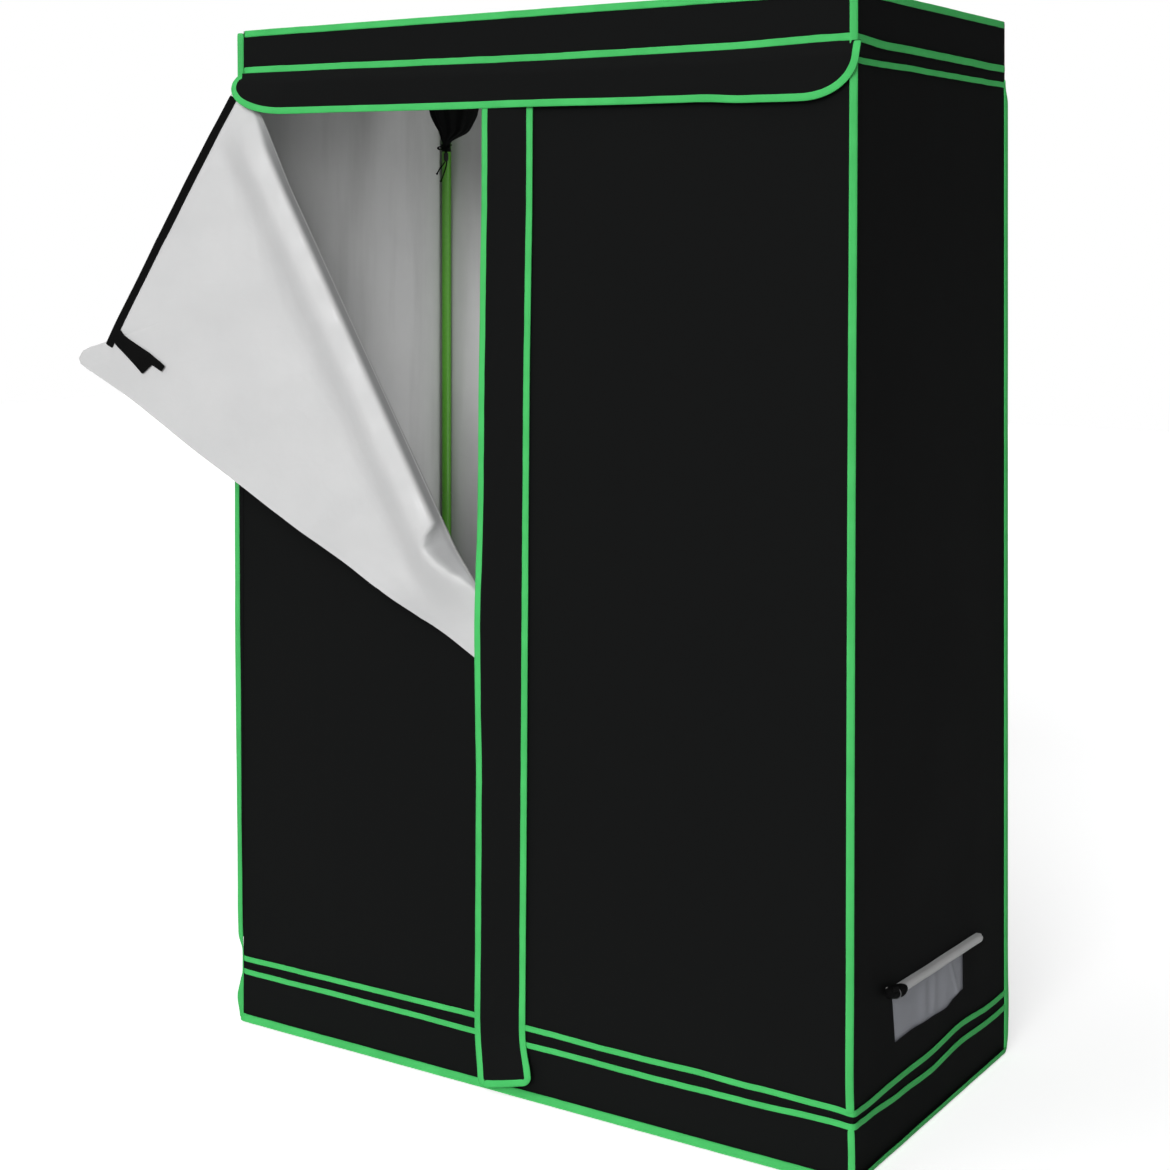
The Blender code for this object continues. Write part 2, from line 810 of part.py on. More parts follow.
def strip_edge_path(length):
    """Free edge down the left side, round the lower end, and up the sewn side."""
    r = strip_corner_round
    rows = 18
    left = [(strip_width, r + (length - r) * (1 - k / rows)) for k in range(rows + 1)]
    low = [(strip_width - r, 0), (strip_width / 2, 0), (r, 0)]
    right = [(width_place - strip_width, height) for width_place, height in reversed(left)]
    return left, low, right


def add_centre_strip(finish, tape_finish):
    """Storm strip over the centre zip, hinged on its sewn edge, which leans a little."""
    seam = upper_tape_height - touch_gap
    top = seam - flap_height - flap_to_strip_gap
    height = top - strip_bottom
    lean = math.atan(strip_lean / height)
    length = height / math.cos(lean)
    hinge = Vector((strip_seam_x - strip_lean, front_y - strip_edge_lift - cloth, strip_bottom))
    carrier = pivot("centre_strip_hinge", hinge)
    left, low, right = strip_edge_path(length)
    edge = left + low + right
    inner = inset_path([(-x, z) for x, z in edge], tape_width)
    inner = [(-x, min(max(z, tape_width), length)) for x, z in inner]
    spine = [(strip_width / 2, z) for _, z in inner]
    rows = [[strip_surface(*point) for point in path] for path in (edge, inner, spine)]
    mesh = rows_to_sheet("centre_zip_strip", [rows], OUT * cloth)
    band = [[strip_surface(*point, cloth + touch_gap) for point in path] for path in (edge, inner)]
    binding = rows_to_sheet("centre_strip_binding", [band], OUT * tape_thickness)
    for name, made, look in (
        ("centre_zip_strip", mesh, finish),
        ("centre_strip_binding", binding, tape_finish),
    ):
        made.transform(Matrix.Translation(Y * cloth))
        obj = add(name, made, look, hinge, carrier, smooth=True)
        obj.rotation_euler = (0, lean, 0)


# Bindings on the cover

def add_cover_binding(finish):
    """Tape round the top and bottom edges, along the seams, and down the four corners."""
    bands_side = [
        (touch_gap, tape_width),
        (lowest_tape_height, lowest_tape_height + tape_width),
        (lower_tape_height, lower_tape_height + tape_width),
        (second_tape_height, second_tape_height + tape_width),
        (upper_tape_height, upper_tape_height + tape_width),
        (tent_height - tape_width, tent_height),
    ]
    heights = sorted({height for band in bands_side for height in band})
    skin_x, skin_y = half_width + touch_gap, half_depth + touch_gap
    bm = bmesh.new()
    for side in range(4):
        wide = skin_x if side % 2 == 0 else skin_y
        deep = skin_y if side % 2 == 0 else skin_x
        stops = [-wide, -wide + tape_width, wide - tape_width, wide]
        turn = Matrix.Rotation(side * math.pi / 2, 4, "Z")
        for low, high in zip(heights, heights[1:]):
            banded = (low, high) in bands_side
            if side == 0 and low == second_tape_height:
                banded = False
            for k in range(3):
                if banded or k != 1:
                    corners = [(stops[k], low), (stops[k + 1], low), (stops[k + 1], high), (stops[k], high)]
                    bm.faces.new([bm.verts.new(turn @ Vector((u, -deep, z))) for u, z in corners])
    bmesh.ops.remove_doubles(bm, verts=bm.verts, dist=cloth / 1000)
    mesh = mesh_from(bm, "cover_binding")
    tape = add("cover_binding", mesh, finish)
    thickness = tape.modifiers.new("tape thickness", "SOLIDIFY")
    thickness.thickness = tape_thickness
    thickness.offset = 1
    thickness.use_even_offset = True


# Zips

def add_zip_tapes(finish):
    """Zip tapes sewn to the fixed edges: the centre zip, and the header's half of the top zip."""
    near = front_y - touch_gap
    run = (0, -zip_tape_thickness, 0)
    width = zip_tape_width
    top = door_top - width - touch_gap * 2
    centre = [
        (zip_x - width, 0, zip_bottom_height),
        (zip_x + width, 0, zip_bottom_height),
        (zip_x + width, 0, top),
        (zip_x + zip_side_gap, 0, top),
        (zip_x + zip_side_gap, 0, fold_end_height - width),
        (zip_x - width, 0, fold_end_height - width),
    ]
    add("centre_zip", extruded_mesh("centre_zip", centre, (0, near, 0), run), finish)
    left, right = -half_width + zip_end_margin, half_width - zip_end_margin
    level = door_top + touch_gap
    top_zip = [
        (left, 0, level),
        (zip_x, 0, level),
        (zip_x, 0, level - width),
        (right, 0, level - width),
        (right, 0, level + width),
        (left, 0, level + width),
    ]
    add("top_zip", extruded_mesh("top_zip", top_zip, (0, near, 0), run), finish)


def slider_mesh(name, hang):
    """Zip slider in its own frame: waisted body, bridge, and a pull tab along hang."""
    half, waist, tall = slider_width / 2, slider_waist / 2, slider_height / 2
    body = [
        (-waist, 0, -tall),
        (waist, 0, -tall),
        (half, 0, 0),
        (half, 0, tall),
        (0, 0, tall / 2),
        (-half, 0, tall),
        (-half, 0, 0),
    ]
    plate = extruded_mesh(name, body, (0, 0, 0), (0, -slider_plate, 0))
    bridge_low = (-pull_width / 4, -slider_plate - slider_bridge - pull_plate, -tall / 2)
    bridge = box_mesh(name, bridge_low, (pull_width / 4, -slider_plate / 2, tall / 4))
    steps = 6
    tab = [(-pull_width / 2, 0, 0), (pull_width / 2, 0, 0)]
    for k in range(steps + 1):
        angle = -math.pi * k / steps
        end = pull_width / 2 - pull_length
        tab.append((pull_width / 2 * math.cos(angle), 0, end + pull_width / 2 * math.sin(angle)))
    pull = extruded_mesh(name, tab, (0, -slider_plate - slider_bridge, 0), (0, -pull_plate, 0))
    pull.transform(hang)
    plate.transform(hang)
    bridge.transform(hang)
    return combined(name, plate, [bridge, pull], "UNION")


def add_sliders(finish):
    """One slider on the centre zip at the foot of the opening, and one at the end of the top zip."""
    face = front_y - touch_gap - zip_tape_thickness - touch_gap
    places = {
        "centre_zip_slider": (zip_x, face, fold_end_height),
        "top_zip_slider": (-half_width + top_slider_margin, face, door_top + touch_gap),
    }
    for name, place in places.items():
        carrier = pivot(f"{name}_travel", place)
        add(name, slider_mesh(name, Matrix.Identity(4)), finish, place, carrier)


# Vent in the right wall

def add_vent_mesh(finish):
    """Insect net behind the window, as a grid of strands in a hem."""
    bm = bmesh.new()
    bmesh.ops.create_grid(bm, x_segments=mesh_columns, y_segments=mesh_rows, size=0.5)
    width = vent_back_y - vent_front_y + 2 * mesh_margin
    tall = vent_high - vent_low + 2 * mesh_margin
    bmesh.ops.scale(bm, vec=(width, tall, 1), verts=bm.verts)
    bmesh.ops.inset_individual(bm, faces=list(bm.faces), thickness=mesh_strand / 2)
    cell_area = (width / mesh_columns - mesh_strand) * (tall / mesh_rows - mesh_strand)
    gaps = [face for face in bm.faces if abs(face.calc_area() - cell_area) < cell_area / 50]
    bmesh.ops.delete(bm, geom=gaps, context="FACES")
    mesh = mesh_from(bm, "vent_mesh")
    behind_wall = half_width - cloth - touch_gap
    centre = (behind_wall, (vent_front_y + vent_back_y) / 2, (vent_low + vent_high) / 2)
    net = add("vent_mesh", mesh, finish, centre)
    net.rotation_euler = Matrix(((0, 0, 1), (1, 0, 0), (0, 1, 0))).to_euler()
    thickness = net.modifiers.new("strand thickness", "SOLIDIFY")
    thickness.thickness = mesh_thickness
    thickness.offset = -1


def roll_outline(radius, tail):
    """End view of the rolled-up flap: a round roll with the tail that is stitched to the wall."""
    steps = 14
    first = math.asin(1 - cloth / radius)
    points = []
    for k in range(steps + 1):
        angle = math.pi / 2 - (math.tau - (math.pi / 2 - first)) * k / steps
        points.append((radius * math.cos(angle), radius * math.sin(angle)))
    points.append((-tail, radius - cloth))
    points.append((-tail, radius))
    return points


def add_vent_flap(finish, tie_finish):
    """The vent's flap, rolled up over the window and held by a tie near its front end."""
    centre_x = half_width + 2 * touch_gap + vent_tie_radius
    tail = vent_tie_radius + touch_gap
    hinge = Vector((half_width + touch_gap, 0, roll_height + roll_cloth_radius))
    carrier = pivot("vent_flap_hinge", hinge)
    outline = [(x, 0, z) for x, z in roll_outline(roll_cloth_radius, tail)]
    length = roll_back_y - roll_front_y
    mesh = extruded_mesh("vent_flap_roll", outline, (0, 0, 0), (0, length, 0))
    mesh.transform(Matrix.Translation(Vector((centre_x, roll_front_y, roll_height)) - hinge))
    add("vent_flap_roll", mesh, finish, hinge, carrier, smooth=True)
    bore = roll_cloth_radius + touch_gap
    half = vent_tie_length / 2
    ring = [(vent_tie_radius, -half), (vent_tie_radius, half), (bore, half), (bore, -half)]
    tie = turned_mesh("vent_tie", ring, tube_sides, closed=True)
    notch_low = (-tail, roll_cloth_radius - cloth - touch_gap, -vent_tie_length)
    notch = box_mesh("notch", notch_low, (0, vent_tie_radius + touch_gap, vent_tie_length))
    tie = combined("vent_tie", tie, [notch], "DIFFERENCE")
    tie.transform(Matrix.Rotation(math.pi / 2, 4, "X"))
    tie.transform(Matrix.Translation(Vector((centre_x, vent_tie_y, roll_height)) - hinge))
    add("vent_tie", tie, tie_finish, hinge, carrier, smooth=True)


# Duct port, sleeve and drawstring

def sleeve_profile():
    """Outside of the sleeve from its foot up to its top, then inside down to the gathered cloth."""
    top = tent_height - cloth - touch_gap
    wall = sleeve_wall
    return [
        (0, sleeve_frill_height),
        (sleeve_frill_radius, sleeve_frill_height),
        (sleeve_neck_radius, sleeve_neck_height - wall * 2),
        (sleeve_neck_radius, sleeve_neck_height + wall * 2),
        (sleeve_shoulder_radius, sleeve_shoulder_height),
        (sleeve_belly_radius, sleeve_belly_height),
        (sleeve_radius, (top + sleeve_belly_height) / 2),
        (sleeve_radius, top),
        (sleeve_radius - wall, top),
        (sleeve_radius - wall, (top + sleeve_belly_height) / 2),
        (sleeve_belly_radius - wall, sleeve_belly_height + wall),
        (0, sleeve_belly_height + wall),
    ]


def lean_shift(height):
    """Sideways shift of the sleeve at a height, which brings its neck off centre."""
    top = tent_height - cloth - touch_gap
    share = smooth_step(top - height, 0, top - sleeve_neck_height)
    return -door_side * sleeve_lean * share


def add_sleeve(finish, ring_finish):
    """Gathered sleeve under the roof's port, and the sewn ring round its top."""
    top = tent_height - cloth - touch_gap
    hinge = Vector((port_x, port_y, top))
    carrier = pivot("duct_sleeve_swing", hinge)
    mesh = turned_mesh("duct_sleeve", sleeve_profile(), sleeve_sides)
    for vertex in mesh.vertices:
        angle = math.atan2(vertex.co.y, vertex.co.x)
        radius = math.hypot(vertex.co.x, vertex.co.y)
        gather = smooth_step(sleeve_belly_height - vertex.co.z, 0, sleeve_shoulder_drop - sleeve_belly_drop)
        gather *= smooth_step(radius, sleeve_neck_radius, sleeve_shoulder_radius)
        swell = 1 + pleat_share * gather * math.cos(pleats * angle)
        shift = lean_shift(vertex.co.z)
        vertex.co.x = vertex.co.x * swell + shift.x
        vertex.co.y = vertex.co.y * swell + shift.y
    mesh.transform(Matrix.Translation((0, 0, -top)))
    add("duct_sleeve", mesh, finish, hinge, carrier, smooth=True)
    bore = sleeve_radius + touch_gap
    low = top - port_ring_thickness
    ring = [(bore + port_ring_width, low), (bore + port_ring_width, top), (bore, top), (bore, low)]
    ring_mesh = turned_mesh("duct_port_ring", ring, sleeve_sides, closed=True)
    add("duct_port_ring", ring_mesh, ring_finish, (port_x, port_y, 0), smooth=True)


# The drawstring's route from the neck: to the side, to the front of the open door, and up
string_route = [
    (-0.0170, 0.0135, -0.0540),
    (-0.0125, 0.0132, -0.0460),
    (-0.0060, 0.0128, -0.0370),
    (-0.0016, 0.0125, -0.0300),
    (-0.0014, 0.0125, -0.0220),
    (-0.0014, 0.0125, -0.0140),
    (-0.0026, 0.0118, -0.0075),
    (-0.0056, 0.0080, -0.0020),
    (-0.0082, 0.0040, 0.0000),
    (-0.0090, 0.0000, 0.0005),
    (-0.0078, -0.0045, 0.0005),
    (-0.0045, -0.0078, 0.0005),
    (0.0000, -0.0090, 0.0005),
    (0.0045, -0.0078, 0.0005),
    (0.0078, -0.0045, 0.0005),
    (0.0090, 0.0000, 0.0005),
    (0.0082, 0.0040, 0.0000),
    (0.0056, 0.0080, -0.0020),
    (0.0026, 0.0118, -0.0075),
    (0.0014, 0.0125, -0.0140),
    (0.0014, 0.0125, -0.0220),
    (0.0014, 0.0125, -0.0300),
    (0.0000, 0.0130, -0.0400),
    (-0.0045, 0.0138, -0.0540),
    (-0.0095, 0.0140, -0.0680),
]


def string_point(right, front, rise):
    """A point in the tent's frame, given from the middle of the sleeve's neck."""
    neck = Vector((port_x, port_y, sleeve_neck_height)) + lean_shift(sleeve_neck_height)
    return neck + door_side * right + door_front * front + Z * rise


def smooth_route(points, steps):
    """A smooth curve through the points, with the same number of steps between each two."""
    padded = [points[0] * 2 - points[1], *points, points[-1] * 2 - points[-2]]
    route = []
    for k in range(1, len(padded) - 2):
        before, near, far, after = padded[k - 1 : k + 3]
        for step in range(steps):
            t = step / steps
            turn = (far - before) * t + (2 * before - 5 * near + 4 * far - after) * t * t
            route.append(near + (turn + (3 * near - before - 3 * far + after) * t**3) / 2)
    return route + [points[-1]]


def least_gap(route, diameter):
    """Least clear gap between two stretches of the string that aren't neighbours."""
    reach = 3 * diameter
    gaps = []
    for i, one in enumerate(route):
        travelled = 0.0
        for j in range(i + 1, len(route)):
            travelled += (route[j] - route[j - 1]).length
            if travelled > reach:
                gaps.append((route[j] - one).length - diameter)
    return min(gaps)


def add_drawstring(finish, barrel_finish):
    """The drawstring, once round the sleeve's neck, and the barrel that both its ends pass."""
    top = tent_height - cloth - touch_gap
    hinge = Vector((port_x, port_y, top))
    carrier = bpy.data.objects["duct_sleeve_swing"]
    route = smooth_route([string_point(*place) for place in string_route], 2)
    length = sum((far - near).length for near, far in zip(route, route[1:]))
    gap = least_gap(route, 2 * string_radius)
    print(f"drawstring: {length * 1000:.0f} mm, least gap {gap * 1000:.2f} mm")
    curve = bpy.data.curves.new("sleeve_drawstring", "CURVE")
    curve.dimensions = "3D"
    curve.bevel_depth = string_radius
    curve.bevel_resolution = 1
    curve.use_fill_caps = True
    spline = curve.splines.new("POLY")
    spline.points.add(len(route) - 1)
    for point, place in zip(spline.points, route):
        point.co = (*(place - hinge), 1)
    curve.materials.append(finish)
    cord = bpy.data.objects.new("sleeve_drawstring", curve)
    bpy.context.scene.collection.objects.link(cord)
    cord.location = hinge
    cord.parent = carrier
    cord.matrix_parent_inverse = Matrix.Translation(carrier.location).inverted()
    ring = [
        (barrel_radius, -barrel_length),
        (barrel_radius, 0),
        (barrel_bore, 0),
        (barrel_bore, -barrel_length),
    ]
    mesh = turned_mesh("cord_lock", ring, tube_sides, closed=True)
    place = string_point(0, barrel_front, -barrel_drop)
    mesh.transform(Matrix.Translation(place - hinge))
    add("cord_lock", mesh, barrel_finish, hinge, carrier, smooth=True)


# Floor tray

def add_tray(finish):
    """Loose open tray that lies on the floor between the bottom rails."""
    reach_x = corner_x - collar_radius - tray_clearance
    reach_y = corner_y - collar_radius - tray_clearance
    rest = cloth + touch_gap
    carrier = pivot("tray_lift", (0, 0, rest))
    bm = bmesh.new()
    bmesh.ops.create_cube(bm, size=1)
    bmesh.ops.scale(bm, vec=(2 * reach_x, 2 * reach_y, tray_height), verts=bm.verts)
    bmesh.ops.translate(bm, vec=(0, 0, tray_height / 2), verts=bm.verts)
    bm.faces.ensure_lookup_table()
    top = max(bm.faces, key=lambda face: face.calc_center_median().z)
    bmesh.ops.inset_region(bm, faces=[top], thickness=tray_wall)
    grown = bmesh.ops.extrude_face_region(bm, geom=[top])
    moved = [item for item in grown["geom"] if isinstance(item, bmesh.types.BMVert)]
    bmesh.ops.delete(bm, geom=[top], context="FACES_ONLY")
    bmesh.ops.translate(bm, vec=(0, 0, tray_wall - tray_height), verts=moved)
    add("floor_tray", mesh_from(bm, "floor_tray"), finish, carrier.location, carrier)


def build():
    """Make the materials, then every piece of the tent."""
    clear_scene()
    black_cloth = material("black_cloth", (0.0095, 0.0103, 0.0100), 0.75)
    silver_cloth = material("silver_lining", (0.66, 0.66, 0.66), 0.45)
    green_tape = material("green_binding", (0.055, 0.55, 0.12), 0.6)
    green_paint = material("green_powder_coat", (0.09, 0.34, 0.05), 0.35, 0.2)
    black_plastic = material("black_plastic", (0.012, 0.012, 0.012), 0.5)
    black_webbing = material("black_webbing", (0.010, 0.010, 0.010), 0.8)
    net = material("grey_net", (0.15, 0.16, 0.18), 0.7)
    zip_metal = material("zip_metal", (0.3, 0.3, 0.3), 0.35, 0.9)
    add_connectors(black_plastic)
    add_posts(green_paint)
    add_rails(green_paint)
    add_hanging_bar("hanging_bar_left", bar_left_x, green_paint)
    add_hanging_bar("hanging_bar_right", bar_right_x, green_paint)
    add_walls(black_cloth)
    add_door_panels(black_cloth)
    add_door_corner(silver_cloth, black_webbing)
    add_top_flap(black_cloth, green_tape)
    add_centre_strip(black_cloth, green_tape)
    add_cover_binding(green_tape)
    add_zip_tapes(black_webbing)
    add_sliders(zip_metal)
    add_vent_mesh(net)
    add_vent_flap(silver_cloth, black_webbing)
    add_sleeve(black_cloth, black_webbing)
    add_drawstring(black_webbing, black_plastic)
    add_tray(black_cloth)


build()
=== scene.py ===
# %% [markdown]
# # An indoor grow tent
# The tent is a black cloth cover on a green tube frame. The left door is unzipped, and its corner
# is folded out so that the silver lining shows. We start from a imported model that already has
# every part in its real place, and dress it: cloth in place of stiff boards, bound seams, nets,
# cords, and the finishes that make each of them look like what it is.
# First we load that model; `part_box` reads the box of any one of its parts. The dressed tent may
# not outgrow it.

import math

import bmesh
import bpy
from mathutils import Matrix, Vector, noise


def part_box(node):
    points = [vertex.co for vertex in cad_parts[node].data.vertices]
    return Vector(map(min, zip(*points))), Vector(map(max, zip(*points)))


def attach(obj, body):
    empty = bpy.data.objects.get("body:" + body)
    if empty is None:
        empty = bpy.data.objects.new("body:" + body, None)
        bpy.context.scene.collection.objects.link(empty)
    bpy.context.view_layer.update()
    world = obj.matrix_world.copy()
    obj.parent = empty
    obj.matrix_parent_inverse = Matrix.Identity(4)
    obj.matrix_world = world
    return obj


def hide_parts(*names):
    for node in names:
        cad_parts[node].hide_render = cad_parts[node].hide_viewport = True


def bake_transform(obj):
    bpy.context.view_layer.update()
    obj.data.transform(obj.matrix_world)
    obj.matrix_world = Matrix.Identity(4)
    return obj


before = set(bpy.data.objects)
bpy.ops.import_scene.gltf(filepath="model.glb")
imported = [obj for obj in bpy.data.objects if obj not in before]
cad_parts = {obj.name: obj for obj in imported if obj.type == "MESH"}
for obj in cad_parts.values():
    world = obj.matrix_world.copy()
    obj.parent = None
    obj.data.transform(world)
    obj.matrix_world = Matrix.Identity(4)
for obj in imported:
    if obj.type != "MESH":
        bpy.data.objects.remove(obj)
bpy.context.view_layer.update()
cover_width, cover_depth, cover_height = 1.22, 0.61, 1.80
half_width, half_depth = cover_width / 2, cover_depth / 2
X, Y, Z = Vector((1, 0, 0)), Vector((0, 1, 0)), Vector((0, 0, 1))
OUT = -Y

# %% [markdown]
# ## The camera
# The photograph was taken level, from the right of the tent and a little below its top. A level
# camera keeps upright edges upright. The picture shows more below the horizon than above it, so
# the lens is shifted down and the camera isn't tilted.

# %% Place the camera
eye = (1.9456, -3.0981, 1.4174)
view_turn = math.radians(33)
bpy.ops.object.camera_add(location=eye, rotation=(math.radians(90), 0, view_turn))
camera = bpy.context.object
camera.name = "photo_camera"
camera.data.lens = 63.07
camera.data.sensor_width = 36
camera.data.shift_y = -0.2937
bpy.context.scene.camera = camera
print("camera", [round(c, 3) for c in camera.location])

# %% [markdown]
# ## Small helpers
# Loading a model leaves its objects selected, and an operator acts on all that is selected, so
# every new piece starts by deselecting. `smooth` gives the soft start and stop that cloth has
# where a fold dies out. `waver` is a slow, repeatable unevenness, because no seam is dead straight.


# %% Helpers
def start_fresh():
    if bpy.context.mode != "OBJECT":
        bpy.ops.object.mode_set(mode="OBJECT")
    bpy.ops.object.select_all(action="DESELECT")


def pick(piece):
    """Make this the only selected piece, and the active one."""
    start_fresh()
    piece.select_set(True)
    bpy.context.view_layer.objects.active = piece


def choose(piece, kind, wanted):
    """In edit mode, select just the faces or edges that pass a test."""
    bpy.ops.mesh.select_all(action="DESELECT")
    shape = bmesh.from_edit_mesh(piece.data)
    for part in shape.faces if kind == "FACE" else shape.edges:
        part.select = wanted(part)
    bmesh.update_edit_mesh(piece.data)


def smooth(value, start, full):
    share = min(max((value - start) / (full - start), 0), 1)
    return share * share * (3 - 2 * share)


def waver(place, step, seed):
    """An even value between -1 and 1 that changes slowly: once in about every step."""
    return noise.noise(Vector((place / step, seed, seed * 0.37 + 0.5)))


def bump(place, middle, spread):
    """1 in the middle of a soft swelling, and nearly 0 at twice its spread from there."""
    return math.exp(-(((place - middle) / spread) ** 2))


def wander(stops, distance):
    """A smooth line through (distance, value) stops, level before the first and after the last."""
    if distance <= stops[0][0]:
        return stops[0][1]
    for (start, first), (end, second) in zip(stops, stops[1:]):
        if distance <= end:
            return first + (second - first) * smooth(distance, start, end)
    return stops[-1][1]


def apply_all(piece):
    """Apply the modifiers in their order, with only this piece selected."""
    pick(piece)
    for modifier in list(piece.modifiers):
        bpy.ops.object.modifier_apply(modifier=modifier.name)


print("helpers ready")

# %% [markdown]
# ## Cloth from a grid
# A sewn panel is a rectangle that was cut flat, then stretched, hung or rolled. So each one starts
# as a grid, and a rule says where every point of the cut cloth lies in space. The grid keeps the
# cut's own measure in its UV map, in metres, and the weave will follow that map round every fold.
# `add_body` then gives the cloth its thickness. The tent's cloth is black outside and silver
# inside, and Solidify can give its second skin the next material in the list.


# %% Cloth helpers
def lay_cloth(name, columns, rows, cut, place, materials):
    """A grid of cloth: place(u, v) says where each share of its length and height goes."""
    start_fresh()
    bpy.ops.mesh.primitive_grid_add(x_subdivisions=columns, y_subdivisions=rows, size=2)
    piece = bpy.context.object
    piece.name = piece.data.name = name
    shares = [((point.co.x + 1) / 2, (point.co.y + 1) / 2) for point in piece.data.vertices]
    for loop, corner in zip(piece.data.loops, piece.data.uv_layers.active.data):
        share = shares[loop.vertex_index]
        corner.uv = (share[0] * cut[0], share[1] * cut[1])
    for point, share in zip(piece.data.vertices, shares):
        point.co = place(*share)
    for material in materials:
        piece.data.materials.append(material)
    return piece


def add_body(piece, thickness, side=-1.0, rounds=0):
    """Give cloth its thickness: side -1 grows behind it, 0 both ways. Rounds soften its edges."""
    shell = piece.modifiers.new("thickness", "SOLIDIFY")
    shell.thickness = thickness
    shell.offset = side
    shell.material_offset = 1 if len(piece.data.materials) > 1 else 0
    if rounds:
        soft = piece.modifiers.new("soft edges", "SUBSURF")
        soft.levels = soft.render_levels = rounds
    apply_all(piece)


def hand_over(piece, body, slot, *nodes):
    """Smooth a finished piece, fix it to its body, and let it stand for its solids."""
    pick(piece)
    bpy.ops.object.shade_smooth_by_angle(angle=math.radians(45))
    if nodes:
        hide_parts(*nodes)
    if body:
        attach(piece, body)
    return piece


print("cloth helpers ready")

# %% [markdown]
# ## Effects that several finishes share
# Three effects come back in more than one material, so each is a node group. The weave is a
# plain one: two sine waves, multiplied, lift every other crossing of the threads. The creases are
# ridged noise, which gives the fine broken lines of coated cloth that has been folded in a box.
# The tape effect makes crosswise ribs and a row of stitches near one edge of the tape.


# %% Node group helpers
def new_group(name, inputs, outputs):
    group = bpy.data.node_groups.new(name, "ShaderNodeTree")
    for label, kind, value in inputs:
        socket = group.interface.new_socket(label, in_out="INPUT", socket_type=kind)
        if kind == "NodeSocketFloat":
            socket.default_value = value
    for label in outputs:
        group.interface.new_socket(label, in_out="OUTPUT", socket_type="NodeSocketFloat")
    return group, group.nodes.new("NodeGroupInput"), group.nodes.new("NodeGroupOutput")


def maths(tree, operation, first, second=0.0):
    """One Math node. A number is set on its socket, and a socket is linked to it."""
    node = tree.nodes.new("ShaderNodeMath")
    node.operation = operation
    for k, value in enumerate((first, second)):
        if isinstance(value, (int, float)):
            node.inputs[k].default_value = value
        else:
            tree.links.new(value, node.inputs[k])
    return node.outputs[0]


# %% The weave group
weave, given, made = new_group(
    "plain weave",
    [("Vector", "NodeSocketVector", None), ("Threads", "NodeSocketFloat", 1400.0)],
    ["Height"],
)
split = weave.nodes.new("ShaderNodeSeparateXYZ")
weave.links.new(given.outputs["Vector"], split.inputs[0])
waves = []
for k in (0, 1):
    turns = maths(weave, "MULTIPLY", split.outputs[k], given.outputs["Threads"])
    waves.append(maths(weave, "SINE", maths(weave, "MULTIPLY", turns, math.pi)))
weave.links.new(maths(weave, "MULTIPLY", waves[0], waves[1]), made.inputs["Height"])
print("weave group:", len(weave.nodes), "nodes")

# %% The crease group
creases, given, made = new_group(
    "creases",
    [("Vector", "NodeSocketVector", None), ("Scale", "NodeSocketFloat", 12.0)],
    ["Height", "Mottle"],
)
fine = creases.nodes.new("ShaderNodeTexNoise")
fine.inputs["Detail"].default_value = 4
fine.inputs["Distortion"].default_value = 0.25
creases.links.new(given.outputs["Vector"], fine.inputs["Vector"])
creases.links.new(given.outputs["Scale"], fine.inputs["Scale"])
swing = maths(creases, "MULTIPLY", maths(creases, "SUBTRACT", fine.outputs["Fac"], 0.5), 4)
ridge = maths(creases, "SUBTRACT", 1, maths(creases, "ABSOLUTE", swing))
creases.links.new(maths(creases, "MAXIMUM", ridge, 0), made.inputs["Height"])
broad = creases.nodes.new("ShaderNodeTexNoise")
broad.inputs["Detail"].default_value = 2
creases.links.new(given.outputs["Vector"], broad.inputs["Vector"])
creases.links.new(maths(creases, "MULTIPLY", given.outputs["Scale"], 0.4), broad.inputs["Scale"])
creases.links.new(broad.outputs["Fac"], made.inputs["Mottle"])
print("crease group:", len(creases.nodes), "nodes")

# %% The tape group
stitch_width, stitch_pitch, stitch_share = 0.0005, 0.0042, 0.68
ribs, given, made = new_group(
    "ribbed tape",
    [
        ("Vector", "NodeSocketVector", None),
        ("Pitch", "NodeSocketFloat", 0.0012),
        ("Stitch line", "NodeSocketFloat", 0.008),
    ],
    ["Height", "Stitch"],
)
split = ribs.nodes.new("ShaderNodeSeparateXYZ")
ribs.links.new(given.outputs["Vector"], split.inputs[0])
along = maths(ribs, "DIVIDE", split.outputs["X"], given.outputs["Pitch"])
rib_wave = maths(ribs, "SINE", maths(ribs, "MULTIPLY", along, math.tau))
ribs.links.new(rib_wave, made.inputs["Height"])
from_line = maths(ribs, "SUBTRACT", split.outputs["Y"], given.outputs["Stitch line"])
near_line = maths(ribs, "LESS_THAN", maths(ribs, "ABSOLUTE", from_line), stitch_width)
in_pitch = maths(ribs, "FRACT", maths(ribs, "DIVIDE", split.outputs["X"], stitch_pitch))
dash = maths(ribs, "LESS_THAN", in_pitch, stitch_share)
ribs.links.new(maths(ribs, "MULTIPLY", near_line, dash), made.inputs["Stitch"])
print("tape group:", len(ribs.nodes), "nodes")
